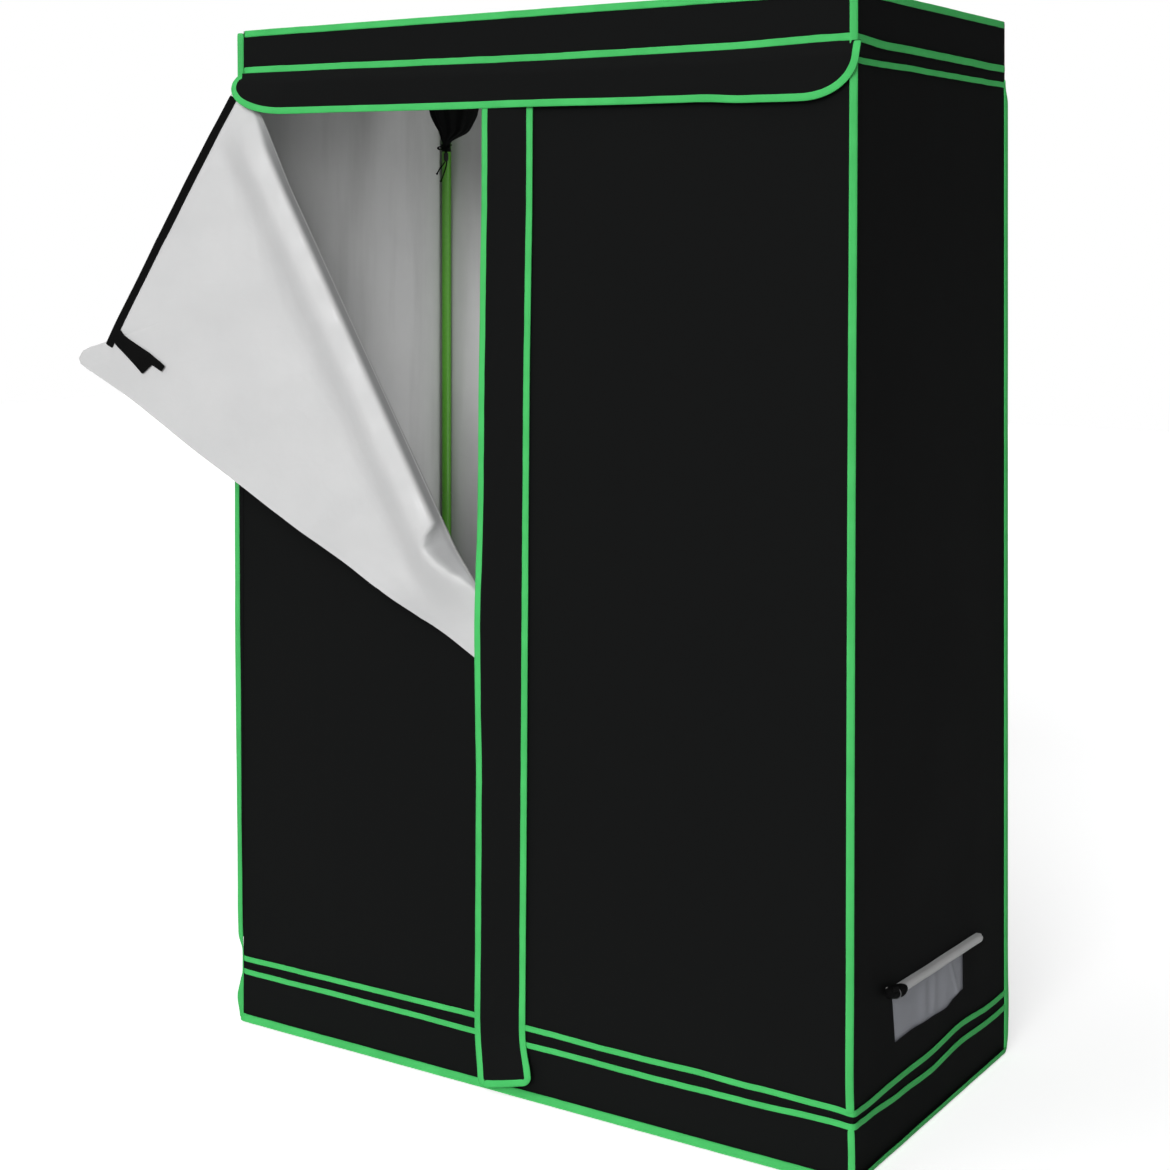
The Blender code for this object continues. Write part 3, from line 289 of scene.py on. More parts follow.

# %% [markdown]
# ## The finishes
# Every finish keeps its shader in its own material and takes only masks and heights from the
# groups. `finish` makes a material with two tones that a mask mixes, because even plain black
# cloth is a little worn and a little new from place to place, and `mottled` gives it that mask.
# `relief` stacks bumps, so that the fine weave sits on top of the broad creases. `overlay` lays
# one more, darker tone over the two where a mask says so: painted shade on lining turned from the light.


# %% Material helpers
def finish(name, dark, light, roughness, metallic=0.0, specular=0.5):
    """A material whose base colour is a mix of two tones."""
    material = bpy.data.materials.new(name)
    material.use_nodes = True
    tree = material.node_tree
    shader = tree.nodes["Principled BSDF"]
    shader.inputs["Roughness"].default_value = roughness
    shader.inputs["Metallic"].default_value = metallic
    shader.inputs["Specular IOR Level"].default_value = specular
    tones = tree.nodes.new("ShaderNodeMix")
    tones.name = "tones"
    tones.data_type = "RGBA"
    tones.inputs["A"].default_value = (*dark, 1)
    tones.inputs["B"].default_value = (*light, 1)
    tree.links.new(tones.outputs["Result"], shader.inputs["Base Color"])
    material.diffuse_color = (*light, 1)
    return material, tree, shader, tones


def coordinates(tree, kind):
    return tree.nodes.new("ShaderNodeTexCoord").outputs[kind]


def grouped(tree, group, kind, **values):
    """One of the shared effects, laid on one kind of coordinates. Its outputs come back."""
    node = tree.nodes.new("ShaderNodeGroup")
    node.node_tree = group
    tree.links.new(coordinates(tree, kind), node.inputs["Vector"])
    for label, value in values.items():
        node.inputs[label.replace("_", " ")].default_value = value
    return node.outputs


def mottled(tree, tones, scale):
    """Creases of one scale, which also mix the finish's two tones."""
    marks = grouped(tree, creases, "Object", Scale=scale)
    tree.links.new(marks["Mottle"], tones.inputs["Factor"])
    return marks


def relief(tree, shader, *layers):
    """Each layer is (height socket, depth in metres, strength), from the broadest to the finest."""
    below = None
    for level, depth, strength in layers:
        raised = tree.nodes.new("ShaderNodeBump")
        raised.inputs["Distance"].default_value = depth
        raised.inputs["Strength"].default_value = strength
        tree.links.new(level, raised.inputs["Height"])
        if below:
            tree.links.new(below, raised.inputs["Normal"])
        below = raised.outputs["Normal"]
    tree.links.new(below, shader.inputs["Normal"])


def ramp(tree, mask, first=0.0, last=1.0, low=0.0, high=1.0):
    """A Map Range node: low where the mask is at first, high where it is at last."""
    node = tree.nodes.new("ShaderNodeMapRange")
    for label, value in (("From Min", first), ("From Max", last), ("To Min", low), ("To Max", high)):
        node.inputs[label].default_value = value
    tree.links.new(mask, node.inputs["Value"])
    return node


def roughness_range(tree, shader, mask, low, high):
    spread = ramp(tree, mask, low=low, high=high)
    tree.links.new(spread.outputs["Result"], shader.inputs["Roughness"])


def overlay(tree, mask, colour):
    """Lay one more, darker tone over a finish's own two where a mask says so: painted shade."""
    over = tree.nodes.new("ShaderNodeMix")
    over.data_type = "RGBA"
    over.inputs["B"].default_value = (*colour, 1)
    tree.links.new(tree.nodes["tones"].outputs["Result"], over.inputs["A"])
    tree.links.new(mask, over.inputs["Factor"])
    tree.links.new(over.outputs["Result"], tree.nodes["Principled BSDF"].inputs["Base Color"])


# %% Black outer cloth
cloth_threads = 1300.0
black_cloth, tree, shader, tones = finish(
    "black coated cloth", (0.0036, 0.0040, 0.0040), (0.0052, 0.0056, 0.0055), 0.8, specular=0.09
)
folds = mottled(tree, tones, 9.0)
threads = grouped(tree, weave, "UV", Threads=cloth_threads)
relief(tree, shader, (folds["Height"], 0.0006, 0.35), (threads["Height"], 0.00012, 0.5))
roughness_range(tree, shader, folds["Mottle"], 0.72, 0.88)
print(black_cloth.name)

# %% Silver lining
silver_cloth, tree, shader, tones = finish(
    "silver lining", (0.55, 0.552, 0.555), (0.61, 0.61, 0.61), 0.5, metallic=0.15, specular=0.3
)
folds = mottled(tree, tones, 22.0)
threads = grouped(tree, weave, "UV", Threads=cloth_threads)
relief(tree, shader, (folds["Height"], 0.0005, 0.35), (threads["Height"], 0.00008, 0.4))
roughness_range(tree, shader, folds["Height"], 0.42, 0.6)
print(silver_cloth.name)

# %% Green binding tape
green_tape, tree, shader, tones = finish(
    "green ribbed binding", (0.045, 0.44, 0.10), (0.075, 0.60, 0.15), 0.62, specular=0.25
)
folds = mottled(tree, tones, 45.0)
across = grouped(tree, ribs, "UV", Pitch=0.0012, Stitch_line=0.0078)
stitches = (across["Stitch"], 0.0003, 0.8)
relief(tree, shader, (folds["Height"], 0.0006, 0.35), (across["Height"], 0.0001, 0.5), stitches)
print(green_tape.name)

# %% Black webbing
black_tape, tree, shader, tones = finish(
    "black webbing", (0.003, 0.003, 0.003), (0.006, 0.006, 0.006), 0.85, specular=0.08
)
across = grouped(tree, ribs, "UV", Pitch=0.0016, Stitch_line=0.002)
tree.links.new(across["Stitch"], tones.inputs["Factor"])
relief(tree, shader, (across["Height"], 0.0002, 0.7), (across["Stitch"], 0.0002, 0.8))
print(black_tape.name)

# %% Zip tape with its row of coils
coil_width, coil_pitch = 0.0028, 0.0021
zip_tape, tree, shader, tones = finish(
    "zip tape", (0.007, 0.007, 0.007), (0.03, 0.03, 0.032), 0.7, specular=0.35
)
split = tree.nodes.new("ShaderNodeSeparateXYZ")
tree.links.new(coordinates(tree, "UV"), split.inputs[0])
coil = maths(tree, "LESS_THAN", split.outputs["Y"], coil_width)
tooth = maths(tree, "SINE", maths(tree, "MULTIPLY", split.outputs["X"], math.tau / coil_pitch))
threads = grouped(tree, weave, "UV", Threads=1500.0)
tree.links.new(coil, tones.inputs["Factor"])
teeth = maths(tree, "MULTIPLY", coil, tooth)
relief(tree, shader, (threads["Height"], 0.0001, 0.5), (teeth, 0.0005, 0.9))
print(zip_tape.name)

# %% Powder coat, moulded plastic and metal
powder_coat, tree, shader, tones = finish(
    "green powder coat", (0.055, 0.235, 0.010), (0.08, 0.30, 0.018), 0.38, specular=0.4
)
grain = mottled(tree, tones, 420.0)
relief(tree, shader, (grain["Height"], 0.00006, 0.5))
roughness_range(tree, shader, grain["Mottle"], 0.3, 0.48)

black_plastic, tree, shader, tones = finish(
    "black moulded plastic", (0.005, 0.005, 0.005), (0.009, 0.009, 0.0095), 0.5, specular=0.2
)
grain = mottled(tree, tones, 700.0)
relief(tree, shader, (grain["Height"], 0.00005, 0.5))

zip_metal, tree, shader, tones = finish(
    "dark zip metal", (0.20, 0.20, 0.21), (0.34, 0.34, 0.35), 0.35, metallic=0.95
)
grain = mottled(tree, tones, 260.0)
roughness_range(tree, shader, grain["Mottle"], 0.25, 0.5)
print(powder_coat.name, black_plastic.name, zip_metal.name)

# %% [markdown]
# The vent's net has holes far finer than the picture can show one by one. Its material draws the
# grid of strands from the UV map. The holes keep most of the net's haze, because from a few
# metres away such a net looks like a grey film, and only the strands are nearly opaque.

# %% Insect net
mesh_pitch, strand_share = 0.0014, 0.42
hole_haze, strand_cover = 0.74, 0.22
insect_net, tree, shader, tones = finish("insect net", (0.27, 0.28, 0.315), (0.39, 0.40, 0.44), 0.6)
split = tree.nodes.new("ShaderNodeSeparateXYZ")
tree.links.new(coordinates(tree, "UV"), split.inputs[0])
strands = []
for axis in ("X", "Y"):
    place = maths(tree, "FRACT", maths(tree, "DIVIDE", split.outputs[axis], mesh_pitch))
    strands.append(maths(tree, "LESS_THAN", place, strand_share))
strand = maths(tree, "MAXIMUM", strands[0], strands[1])
tree.links.new(strand, tones.inputs["Factor"])
cover = maths(tree, "ADD", maths(tree, "MULTIPLY", strand, strand_cover), hole_haze)
tree.links.new(cover, shader.inputs["Alpha"])
print(insect_net.name)

# %% [markdown]
# ## Drawstring
# A soft sleeve hangs inside under the roof, for a fan's duct, and a drawstring closes it. The
# cord goes once round the sleeve's neck, and both ends pass a small barrel that holds the knot
# tight. It is one curve through points on its real route, smoothed the way a limp cord bends.

# %% Route of the drawstring
# Each stop is (across the view, towards the camera, up), from the sleeve's neck and from the floor.
view_side = Vector((math.cos(view_turn), math.sin(view_turn), 0))
view_front = Vector((math.sin(view_turn), -math.cos(view_turn), 0))
port_middle = Vector((-0.36, 0, 0))
neck_sway = 0.014
neck = port_middle - view_side * neck_sway
half_route = [
    (0.0014, 0.0125, 1.5680),
    (0.0014, 0.0125, 1.5760),
    (0.0014, 0.0125, 1.5840),
    (0.0026, 0.0118, 1.5905),
    (0.0056, 0.0080, 1.5960),
    (0.0082, 0.0040, 1.5980),
    (0.0090, 0.0000, 1.5985),
    (0.0078, -0.0045, 1.5985),
    (0.0045, -0.0078, 1.5985),
]
left_tail = [(-0.0170, 0.0135, 1.5440), (-0.0125, 0.0132, 1.5520), (-0.0060, 0.0128, 1.5610)]
right_tail = [(0.0000, 0.0130, 1.5580), (-0.0045, 0.0138, 1.5440), (-0.0095, 0.0140, 1.5300)]
left_half = [(-side, front, up) for side, front, up in half_route]
left_half[0] = (-0.0016, 0.0125, 1.5680)
route = left_tail + left_half + [(0, -0.0090, 1.5985)] + half_route[::-1] + right_tail
stops = [neck + view_side * side + view_front * front + Z * up for side, front, up in route]


def smooth_route(points, steps):
    """A smooth curve through all the points."""
    padded = [points[0] * 2 - points[1], *points, points[-1] * 2 - points[-2]]
    found = []
    for k in range(1, len(padded) - 2):
        before, near, far, after = padded[k - 1 : k + 3]
        for step in range(steps):
            t = step / steps
            turn = (far - before) * t + (2 * before - 5 * near + 4 * far - after) * t * t
            found.append(near + (turn + (3 * near - before - 3 * far + after) * t**3) / 2)
    return found + [points[-1]]


cord_points = smooth_route(stops, 4)
cord_length = sum((far - near).length for near, far in zip(cord_points, cord_points[1:]))
print(f"drawstring {cord_length * 1000:.0f} mm")

# %% Drawstring and its end knots
cord_diameter, knot_radius = 0.0028, 0.0021
line = bpy.data.curves.new("drawstring", "CURVE")
line.dimensions = "3D"
line.bevel_depth = cord_diameter / 2
line.bevel_resolution = 3
line.use_fill_caps = True
spline = line.splines.new("POLY")
spline.points.add(len(cord_points) - 1)
for point, place in zip(spline.points, cord_points):
    point.co = (*place, 1)
drawstring = bpy.data.objects.new("drawstring", line)
bpy.context.scene.collection.objects.link(drawstring)
line.materials.append(black_tape)
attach(drawstring, "sleeve")
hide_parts("sleeve_drawstring")

for label, end in (("left", cord_points[0]), ("right", cord_points[-1])):
    start_fresh()
    bpy.ops.mesh.primitive_uv_sphere_add(segments=16, ring_count=10, radius=knot_radius, location=end)
    knot = bpy.context.object
    knot.name = knot.data.name = f"drawstring_knot_{label}"
    bpy.ops.object.transform_apply(location=True)
    for point in knot.data.vertices:
        away = point.co - end
        turns = math.atan2(away.y, away.x) * 2 + away.z * 1800
        point.co = end + away * (1 + 0.16 * math.sin(turns))
    knot.data.materials.append(black_tape)
    hand_over(knot, "sleeve", "black_webbing")

# %% Loop of the bow beside the neck
start_fresh()
bpy.ops.mesh.primitive_torus_add(
    location=neck - view_side * 0.0112 + view_front * 0.0050 + Z * 1.5925,
    rotation=(math.radians(90), 0, view_turn),
    major_segments=28,
    minor_segments=12,
    major_radius=0.0036,
    minor_radius=0.0016,
)
loop = bpy.context.object
loop.name = loop.data.name = "drawstring_loop"
loop.scale = (1.25, 0.75, 1)
bpy.ops.object.transform_apply(location=True, rotation=True, scale=True)
loop.data.materials.append(black_tape)
hand_over(loop, "sleeve", "black_webbing")
print(len(loop.data.polygons), "faces")

# %% Barrel of the cord lock
barrel_radius, barrel_length, barrel_wall = 0.0044, 0.014, 0.0018
start_fresh()
bpy.ops.mesh.primitive_cylinder_add(
    vertices=32,
    radius=barrel_radius,
    depth=barrel_length,
    location=neck + view_front * 0.0125 + Z * 1.576,
)
barrel = bpy.context.object
barrel.name = barrel.data.name = "cord_lock_barrel"
bpy.ops.object.transform_apply(location=True)
bpy.ops.object.mode_set(mode="EDIT")
choose(barrel, "FACE", lambda face: abs(face.normal.z) > 0.9)
bpy.ops.mesh.inset(thickness=barrel_wall)
bpy.ops.mesh.delete(type="FACE")
choose(barrel, "EDGE", lambda edge: len(edge.link_faces) == 1)
bpy.ops.mesh.bridge_edge_loops()
bpy.ops.mesh.select_all(action="SELECT")
bpy.ops.mesh.normals_make_consistent(inside=False)
bpy.ops.object.mode_set(mode="OBJECT")
edge_round = barrel.modifiers.new("rounded edges", "BEVEL")
edge_round.width = 0.0006
edge_round.segments = 3
edge_round.limit_method = "ANGLE"
apply_all(barrel)
barrel.data.materials.append(black_plastic)
hand_over(barrel, "sleeve", "black_plastic", "cord_lock")
tuple(cord_points[0])
print("barrel", len(barrel.data.polygons), "faces")

# %% [markdown]
# ## Duct sleeve
# The sleeve is a tube of black cloth sewn into the roof. It was cut straight, so where the
# drawstring gathers it, all its cloth has to go into pleats. The rule below keeps the width of
# the rim, pulls the tube in towards the neck, and lets the pleats grow on the way down until the
# cord presses them together. Below the neck the cloth springs open again as a short frill.

# %% Sleeve
# Each stop of the outline is (level, radius).
sleeve_profile = [
    (1.7981, 0.0508),
    (1.7700, 0.0508),
    (1.7330, 0.0500),
    (1.7000, 0.0482),
    (1.6680, 0.0452),
    (1.6520, 0.0414),
    (1.6330, 0.0320),
    (1.6210, 0.0250),
    (1.6130, 0.0165),
    (1.6050, 0.0085),
    (1.5980, 0.0068),
    (1.5930, 0.0072),
    (1.5865, 0.0090),
]
sleeve_top, sleeve_foot = sleeve_profile[0][0], sleeve_profile[-1][0]
sleeve_cut = (0.317, 0.215)


def sleeve_radius(level):
    for (high, wide), (low, narrow) in zip(sleeve_profile, sleeve_profile[1:]):
        if level >= low:
            share = (high - level) / (high - low)
            return wide + (narrow - wide) * share
    return sleeve_profile[-1][1]


def sleeve_place(u, v):
    level = sleeve_top - v * (sleeve_top - sleeve_foot)
    angle = math.tau * (1 - u)
    radius = sleeve_radius(level)
    gather = smooth(sleeve_top - level, 0.03, 0.17)
    room = smooth(radius, 0.006, 0.02)
    pleat = math.cos(11 * angle + 0.8 * math.sin(2 * angle)) + 0.5 * math.cos(5 * angle + 1.3)
    radius *= 1 + gather * (0.03 + 0.07 * room) * pleat
    sway = neck_sway * smooth(sleeve_top - level, 0.172, 0.196)
    around = Vector((math.cos(angle), math.sin(angle), 0))
    return port_middle + Z * level + around * radius - view_side * sway


sleeve = lay_cloth("duct_sleeve_cloth", 132, 44, sleeve_cut, sleeve_place, [black_cloth])
pick(sleeve)
bpy.ops.object.mode_set(mode="EDIT")
bpy.ops.mesh.select_all(action="SELECT")
bpy.ops.mesh.remove_doubles(threshold=0.00001)
bpy.ops.object.mode_set(mode="OBJECT")
add_body(sleeve, 0.0009)
hand_over(sleeve, None, "black_cloth", "duct_sleeve")
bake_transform(sleeve)
print("sleeve", len(sleeve.data.polygons), "faces")

# %% [markdown]
# ## The walls
# The frame stretches the cover, so a wall is nearly flat: held all round by its seams, a few
# millimetres slack in the middle, with long shallow folds that run mostly up and down. One rule
# makes that slack. It is nought along every seam and never swells outwards, because the cloth
# lies on the tubes.


# %% Slack of a stretched wall
def slack(x, z, size, depth, seed):
    """How far a stretched wall falls back from its seams."""
    rim = min(x, size[0] - x, z, size[1] - z)
    free = smooth(rim, 0, 0.09)
    broad = 0.5 + 0.5 * noise.noise(Vector((x * 2.3, z * 1.1, seed)))
    fold = 0.5 + 0.5 * noise.noise(Vector((x * 11 + 0.8 * math.sin(z * 2.5), z * 1.7, seed + 4)))
    return free * depth * (0.6 * broad + 0.4 * fold)


print("slack in the middle of the back:", round(slack(0.6, 0.9, (1.22, 1.8), 0.006, 2.0), 4))

# %% [markdown]
# Seen from inside, the lining of a wall shows soft upright streaks of shade from shallow folds.
# That shade is painted: a copy of the silver lining lays stretched noise of darker grey over its two tones.

# %% Lining of the walls
wall_lining_painted_shade = silver_cloth.copy()
wall_lining_painted_shade.name = "silver lining, painted shade streaks"
tree = wall_lining_painted_shade.node_tree
stretched = tree.nodes.new("ShaderNodeMapping")
stretched.inputs["Scale"].default_value = (1, 1, 0.13)
tree.links.new(coordinates(tree, "Object"), stretched.inputs["Vector"])
streaks = tree.nodes.new("ShaderNodeTexNoise")
streaks.inputs["Scale"].default_value = 17
streaks.inputs["Detail"].default_value = 4
tree.links.new(stretched.outputs["Vector"], streaks.inputs["Vector"])
painted_shade_mask = ramp(tree, streaks.outputs["Fac"], 0.42, 0.66, high=0.45)
# Painted shade: the darker grey in the streaks stands for the shade of shallow upright folds.
overlay(tree, painted_shade_mask.outputs["Result"], (0.42, 0.422, 0.42))
print(wall_lining_painted_shade.name)

# %% Flat panels of the cover
wall_foot, wall_rise, side_span = 0.0019, 1.7962, 0.6062
header_foot, header_rise, sill_rise = 1.6915, 0.1066, 0.0977
door_split, door_foot, door_rise = -0.0497, 0.0999, 1.59
wall_thickness = 0.0011


def wall_cloth(name, corner, across, up, size, cells, depth, seed):
    outward = across.cross(up)

    def place(u, v):
        x, z = u * size[0], v * size[1]
        return Vector(corner) + across * x + up * z - outward * slack(x, z, size, depth, seed)

    return lay_cloth(name, *cells, size, place, [black_cloth, wall_lining_painted_shade])


def finish_wall(piece, node, size):
    add_body(piece, wall_thickness)
    hand_over(piece, "tent", "black_cloth", node)


back_corner = (half_width, half_depth, wall_foot)
left_corner = (-half_width, side_span / 2, wall_foot)
header_corner = (-half_width, -half_depth, header_foot)
sill_corner = (-half_width, -half_depth, wall_foot)
door_corner = (door_split, -half_depth, door_foot)
floor_corner = (-half_width, half_depth, 0)
back_size, side_size = (cover_width, wall_rise), (side_span, wall_rise)
level_size = (cover_width, cover_depth)
door_size = (half_width - door_split, door_rise)
header_size, sill_size = (cover_width, header_rise), (cover_width, sill_rise)
flat_panels = [
    ("back_cloth", "back_wall", back_corner, -X, Z, back_size, (80, 110), 0.006, 2.0),
    ("left_cloth", "left_wall", left_corner, -Y, Z, side_size, (60, 110), 0.009, 3.0),
    ("front_header_cloth", "front_header", header_corner, X, Z, header_size, (90, 10), 0.002, 5.0),
    ("front_sill_cloth", "front_sill", sill_corner, X, Z, sill_size, (90, 10), 0.002, 6.0),
    ("right_door_cloth", "front_right_panel", door_corner, X, Z, door_size, (50, 100), 0.004, 7.0),
    ("floor_cloth", "floor_panel", floor_corner, X, -Y, level_size, (30, 16), 0.0001, 8.0),
]
for name, node, corner, across, up, size, cells, depth, seed in flat_panels:
    finish_wall(wall_cloth(name, corner, across, up, size, cells, depth, seed), node, size)
print("plain walls:", len(flat_panels))

# %% [markdown]
# The right wall has the vent's window, so its grid is cut along the four sides of the window
# with bisect, and the faces inside are deleted. The real window isn't a true rectangle: its lower
# edge sags, its upper edge rises towards the front and its front edge leans. So the points on
# its rim are moved after the cut.

# %% Right wall with its window
right_corner = (half_width, -side_span / 2, wall_foot)
right = wall_cloth("right_cloth", right_corner, Y, Z, side_size, (44, 110), 0.003, 9.0)
window_low, window_high = Vector((0, -0.165, 0.158)), Vector((0, 0.124, 0.2455))
pick(right)
bpy.ops.object.mode_set(mode="EDIT")
for place, way in ((window_low, Y), (window_high, Y), (window_low, Z), (window_high, Z)):
    bpy.ops.mesh.select_all(action="SELECT")
    bpy.ops.mesh.bisect(plane_co=(half_width, place.y, place.z), plane_no=way)


def in_window(face):
    middle = face.calc_center_median()
    return window_low.y < middle.y < window_high.y and window_low.z < middle.z < window_high.z


choose(right, "FACE", in_window)
bpy.ops.mesh.delete(type="FACE")
bpy.ops.object.mode_set(mode="OBJECT")
print("window cut,", len(right.data.polygons), "faces left")

# %% Uneven rim of the window
# Each stop of the lower edge is (place along the wall, lift).
window_sill = [
    (-0.165, 0.0075), (-0.150, 0.0080), (-0.092, 0.0083), (-0.017, 0.0032), (0.054, -0.0012),
    (0.085, 0.0049), (0.124, 0.0085),
]
window_width = 0.289
front_rise, rise_lost, rise_fade = 0.0065, 0.0205, 0.020
lean_in, lean_lost, lean_height = 0.015, 0.014, 0.0940
on_rim, past_rim = 0.0005, 0.001
for point in right.data.vertices:
    spot = point.co
    over_width = window_low.y - past_rim < spot.y < window_high.y + past_rim
    on_low = abs(spot.z - window_low.z) < on_rim and over_width
    on_front = (
        abs(spot.y - window_low.y) < on_rim
        and window_low.z - past_rim < spot.z < window_high.z + past_rim
    )
    above = (spot.z - window_high.z) / rise_fade
    if on_low:
        spot.z += wander(window_sill, spot.y)
    if -0.02 < above < 1 and over_width:
        rise = front_rise - rise_lost * (spot.y - window_low.y) / window_width
        spot.z += rise * (1 - max(above, 0))
    if on_front:
        spot.y += lean_in - lean_lost * (spot.z - window_low.z) / lean_height
finish_wall(right, "right_wall", side_size)
print("right wall", len(right.data.polygons), "faces")

# %% [markdown]
# The roof has a round hole where the duct goes in. A cylinder cuts it after the cloth has its
# thickness, with the exact Boolean solver, and is then deleted.

# %% Roof
port_radius = 0.049
roof_corner = (-half_width, -half_depth, cover_height)
roof = wall_cloth("roof_cloth", roof_corner, X, Y, level_size, (60, 30), 0.0004, 10.0)
add_body(roof, wall_thickness)
start_fresh()
bpy.ops.mesh.primitive_cylinder_add(
    vertices=64, radius=port_radius, depth=0.02, location=port_middle + Z * cover_height
)
punch = bpy.context.object
hole = roof.modifiers.new("port", "BOOLEAN")
hole.operation = "DIFFERENCE"
hole.solver = "EXACT"
hole.object = punch
apply_all(roof)
bpy.data.objects.remove(punch)
hand_over(roof, "tent", "black_cloth", "roof_panel")
print("roof", len(roof.data.polygons), "faces")

# %% [markdown]
# ## The left door
# This is one uncut panel. Its lower part hangs flat. Along a slanting line it comes forward, rolls
# over and hangs down outside, so its silver lining faces us. Across the fold, the cloth first rises
# in the plane of the front, turns sharply, runs outwards for about 25 mm, and then bends again
# into the hanging corner. Those two bends are the two long edges that the eye sees.
# The hanging corner is described on its own plane: how far along the fold, and how far from it.

# %% Geometry of the fold
fold_start = Vector((-0.61, -0.3042, 1.69))
fold_end = Vector((-0.05, -0.3042, 0.695))
fold_length = (fold_end - fold_start).length
fold_run = (fold_end - fold_start).normalized()
fold_in = Vector((-fold_run.z, 0, fold_run.x))
fold_angle = math.radians(165)
puff_foot, puff_swell, puff_reach, puff_end = 0.015, 0.005, 0.030, 0.090
wave_depth, wave_length = 0.003, 0.23
rumple_depth = 0.0022


def fold_sizes(share):
    """Radius of the turn and height of the flat lead below it, along the fold."""
    return 0.0035 + 0.0045 * share, 0.004 + 0.028 * share + 0.010 * smooth(share, 0.80, 0.90)


def rumple(along, reach):
    """Broad and fine unevenness of soft cloth."""
    broad = noise.noise(Vector((along * 9, reach * 6, 3.1)))
    return broad + 0.4 * noise.noise(Vector((along * 24, reach * 17, 7.7)))


def hanging(along, reach):
    """A point of the hanging corner, with its soft folds."""
    share = min(max(along / fold_length, 0), 1)
    radius, lead = fold_sizes(share)
    press = 0.5 * smooth(share, 0.80, 0.93)
    back = lead + radius * math.sin(fold_angle) + reach * math.cos(fold_angle)
    out = (radius * (1 - math.cos(fold_angle)) + reach * math.sin(fold_angle)) * (1 - press)
    ends = smooth(share, 0.02, 0.12) * (1 - smooth(share, 0.78, 0.92))
    puff = puff_foot + puff_swell * smooth(reach, 0, puff_reach)
    out += ends * puff * (1 - smooth(reach, puff_reach, puff_end))
    out += wave_depth * smooth(reach, 0, 0.22) * math.sin(math.tau * along / wave_length)
    loose = smooth(reach, 0.02, 0.1) * (1 - smooth(share, 0.8, 0.95))
    out += rumple_depth * loose * rumple(along, reach)
    return fold_start + fold_run * along + fold_in * back + OUT * out


print(f"fold {fold_length:.3f} m long")

# %% Free edge of the door's corner
# Each stop is (place along the fold, reach from the fold, where its section crosses the fold).
edge_stops = [
    (-0.0080, 0.0200, 0.000), (0.0346, 0.0817, 0.045), (0.0762, 0.1427, 0.095),
    (0.1658, 0.2785, 0.205), (0.2634, 0.4065, 0.320), (0.2915, 0.4425, 0.350),
    (0.2823, 0.4777, 0.390), (0.2822, 0.4937, 0.405), (0.2903, 0.5063, 0.420),
    (0.3024, 0.5072, 0.430), (0.3199, 0.4978, 0.445), (0.4825, 0.4022, 0.560),
    (0.6375, 0.3200, 0.690), (0.7345, 0.2615, 0.770), (0.8363, 0.2035, 0.860),
    (0.9303, 0.1487, 0.945), (1.0049, 0.1160, 1.015), (1.1070, 0.0575, 1.110),
    (1.1425, 0.0365, 1.1425),
]
edge_counts = [5, 5, 9, 9, 3, 3, 2, 2, 2, 2, 12, 12, 8, 12, 12, 9, 10, 4]
free_edge = [edge_stops[0]]
for near, far, count in zip(edge_stops, edge_stops[1:], edge_counts):
    for k in range(1, count + 1):
        free_edge.append(tuple(near[i] + (far[i] - near[i]) * k / count for i in range(3)))
print(len(free_edge), "points along the free edge")

# %% Where the ridge runs
# Each stop is (share of the fold's length, how far the twist moves the ridge out).
twist_stops = [
    (0.766, 0.0), (0.782, 0.024), (0.789, 0.0325), (0.800, 0.0335), (0.816, 0.0285),
    (0.839, 0.0214), (0.860, 0.0115), (0.880, 0.001), (0.9, 0.0),
]


def ridge_place(share, reach):
    """How far from the fold the ridge runs. Near the low end the cloth twists, and it runs wide."""
    return min(0.001 + wander(twist_stops, share), reach * 0.4)


print("widest ridge", max(shift for share, shift in twist_stops))

# %% Sections across the door, from the sill to the free edge
panel_rows, turn_rows, facet_rows, ridge_rows, corner_rows = 12, 6, 4, 4, 18
turn_angle, turn_tightness = math.radians(115), 0.9
ridge_softness = 0.007


def turn_sizes(share, reach):
    """The fold's radius and lead at a section, smaller where the corner ends."""
    radius, lead = fold_sizes(share)
    pinch = min(1.0, max(reach, 0.0005) / 0.02)
    fade = smooth(share, 0.92, 0.99)
    radius = (radius + (0.0025 - radius) * fade) * pinch
    lead = (lead + (0.003 - lead) * fade) * min(1.0, pinch + smooth(share, 0.3, 0.6))
    return radius, lead + 0.008 * (1 - smooth(share, 0.05, 0.20))


def door_section(along, reach, foot_along):
    share = foot_along / fold_length
    radius, lead = turn_sizes(share, reach)
    foot = fold_start + fold_run * foot_along
    sill_point = Vector((foot.x, foot.y, door_foot))
    line = [sill_point.lerp(foot, k / panel_rows) for k in range(panel_rows)]
    line.append(foot)
    for k in range(1, turn_rows + 1):
        angle = turn_angle * k / turn_rows
        rise = lead + radius * turn_tightness * math.sin(angle)
        line.append(foot + fold_in * rise + OUT * radius * turn_tightness * (1 - math.cos(angle)))
    ridge_reach = ridge_place(share, reach)
    ridge = hanging(foot_along, ridge_reach)
    turn_end = line[-1]
    soft = min(0.4, ridge_softness / max((ridge - turn_end).length, 0.001))
    before = ridge.lerp(turn_end, soft)
    past = ridge_reach + min(0.008, (reach - ridge_reach) * 0.2)
    after = hanging(foot_along, past)
    for k in range(1, facet_rows + 1):
        line.append(turn_end.lerp(before, k / facet_rows))
    for k in range(1, ridge_rows + 1):
        t = k / ridge_rows
        line.append(before.lerp(ridge, t).lerp(ridge.lerp(after, t), t))
    crowd = 1 + smooth(reach, 0.03, 0.3)
    for k in range(1, corner_rows + 1):
        part = (k / corner_rows) ** crowd
        line.append(hanging(foot_along + (along - foot_along) * part, past + (reach - past) * part))
    return line


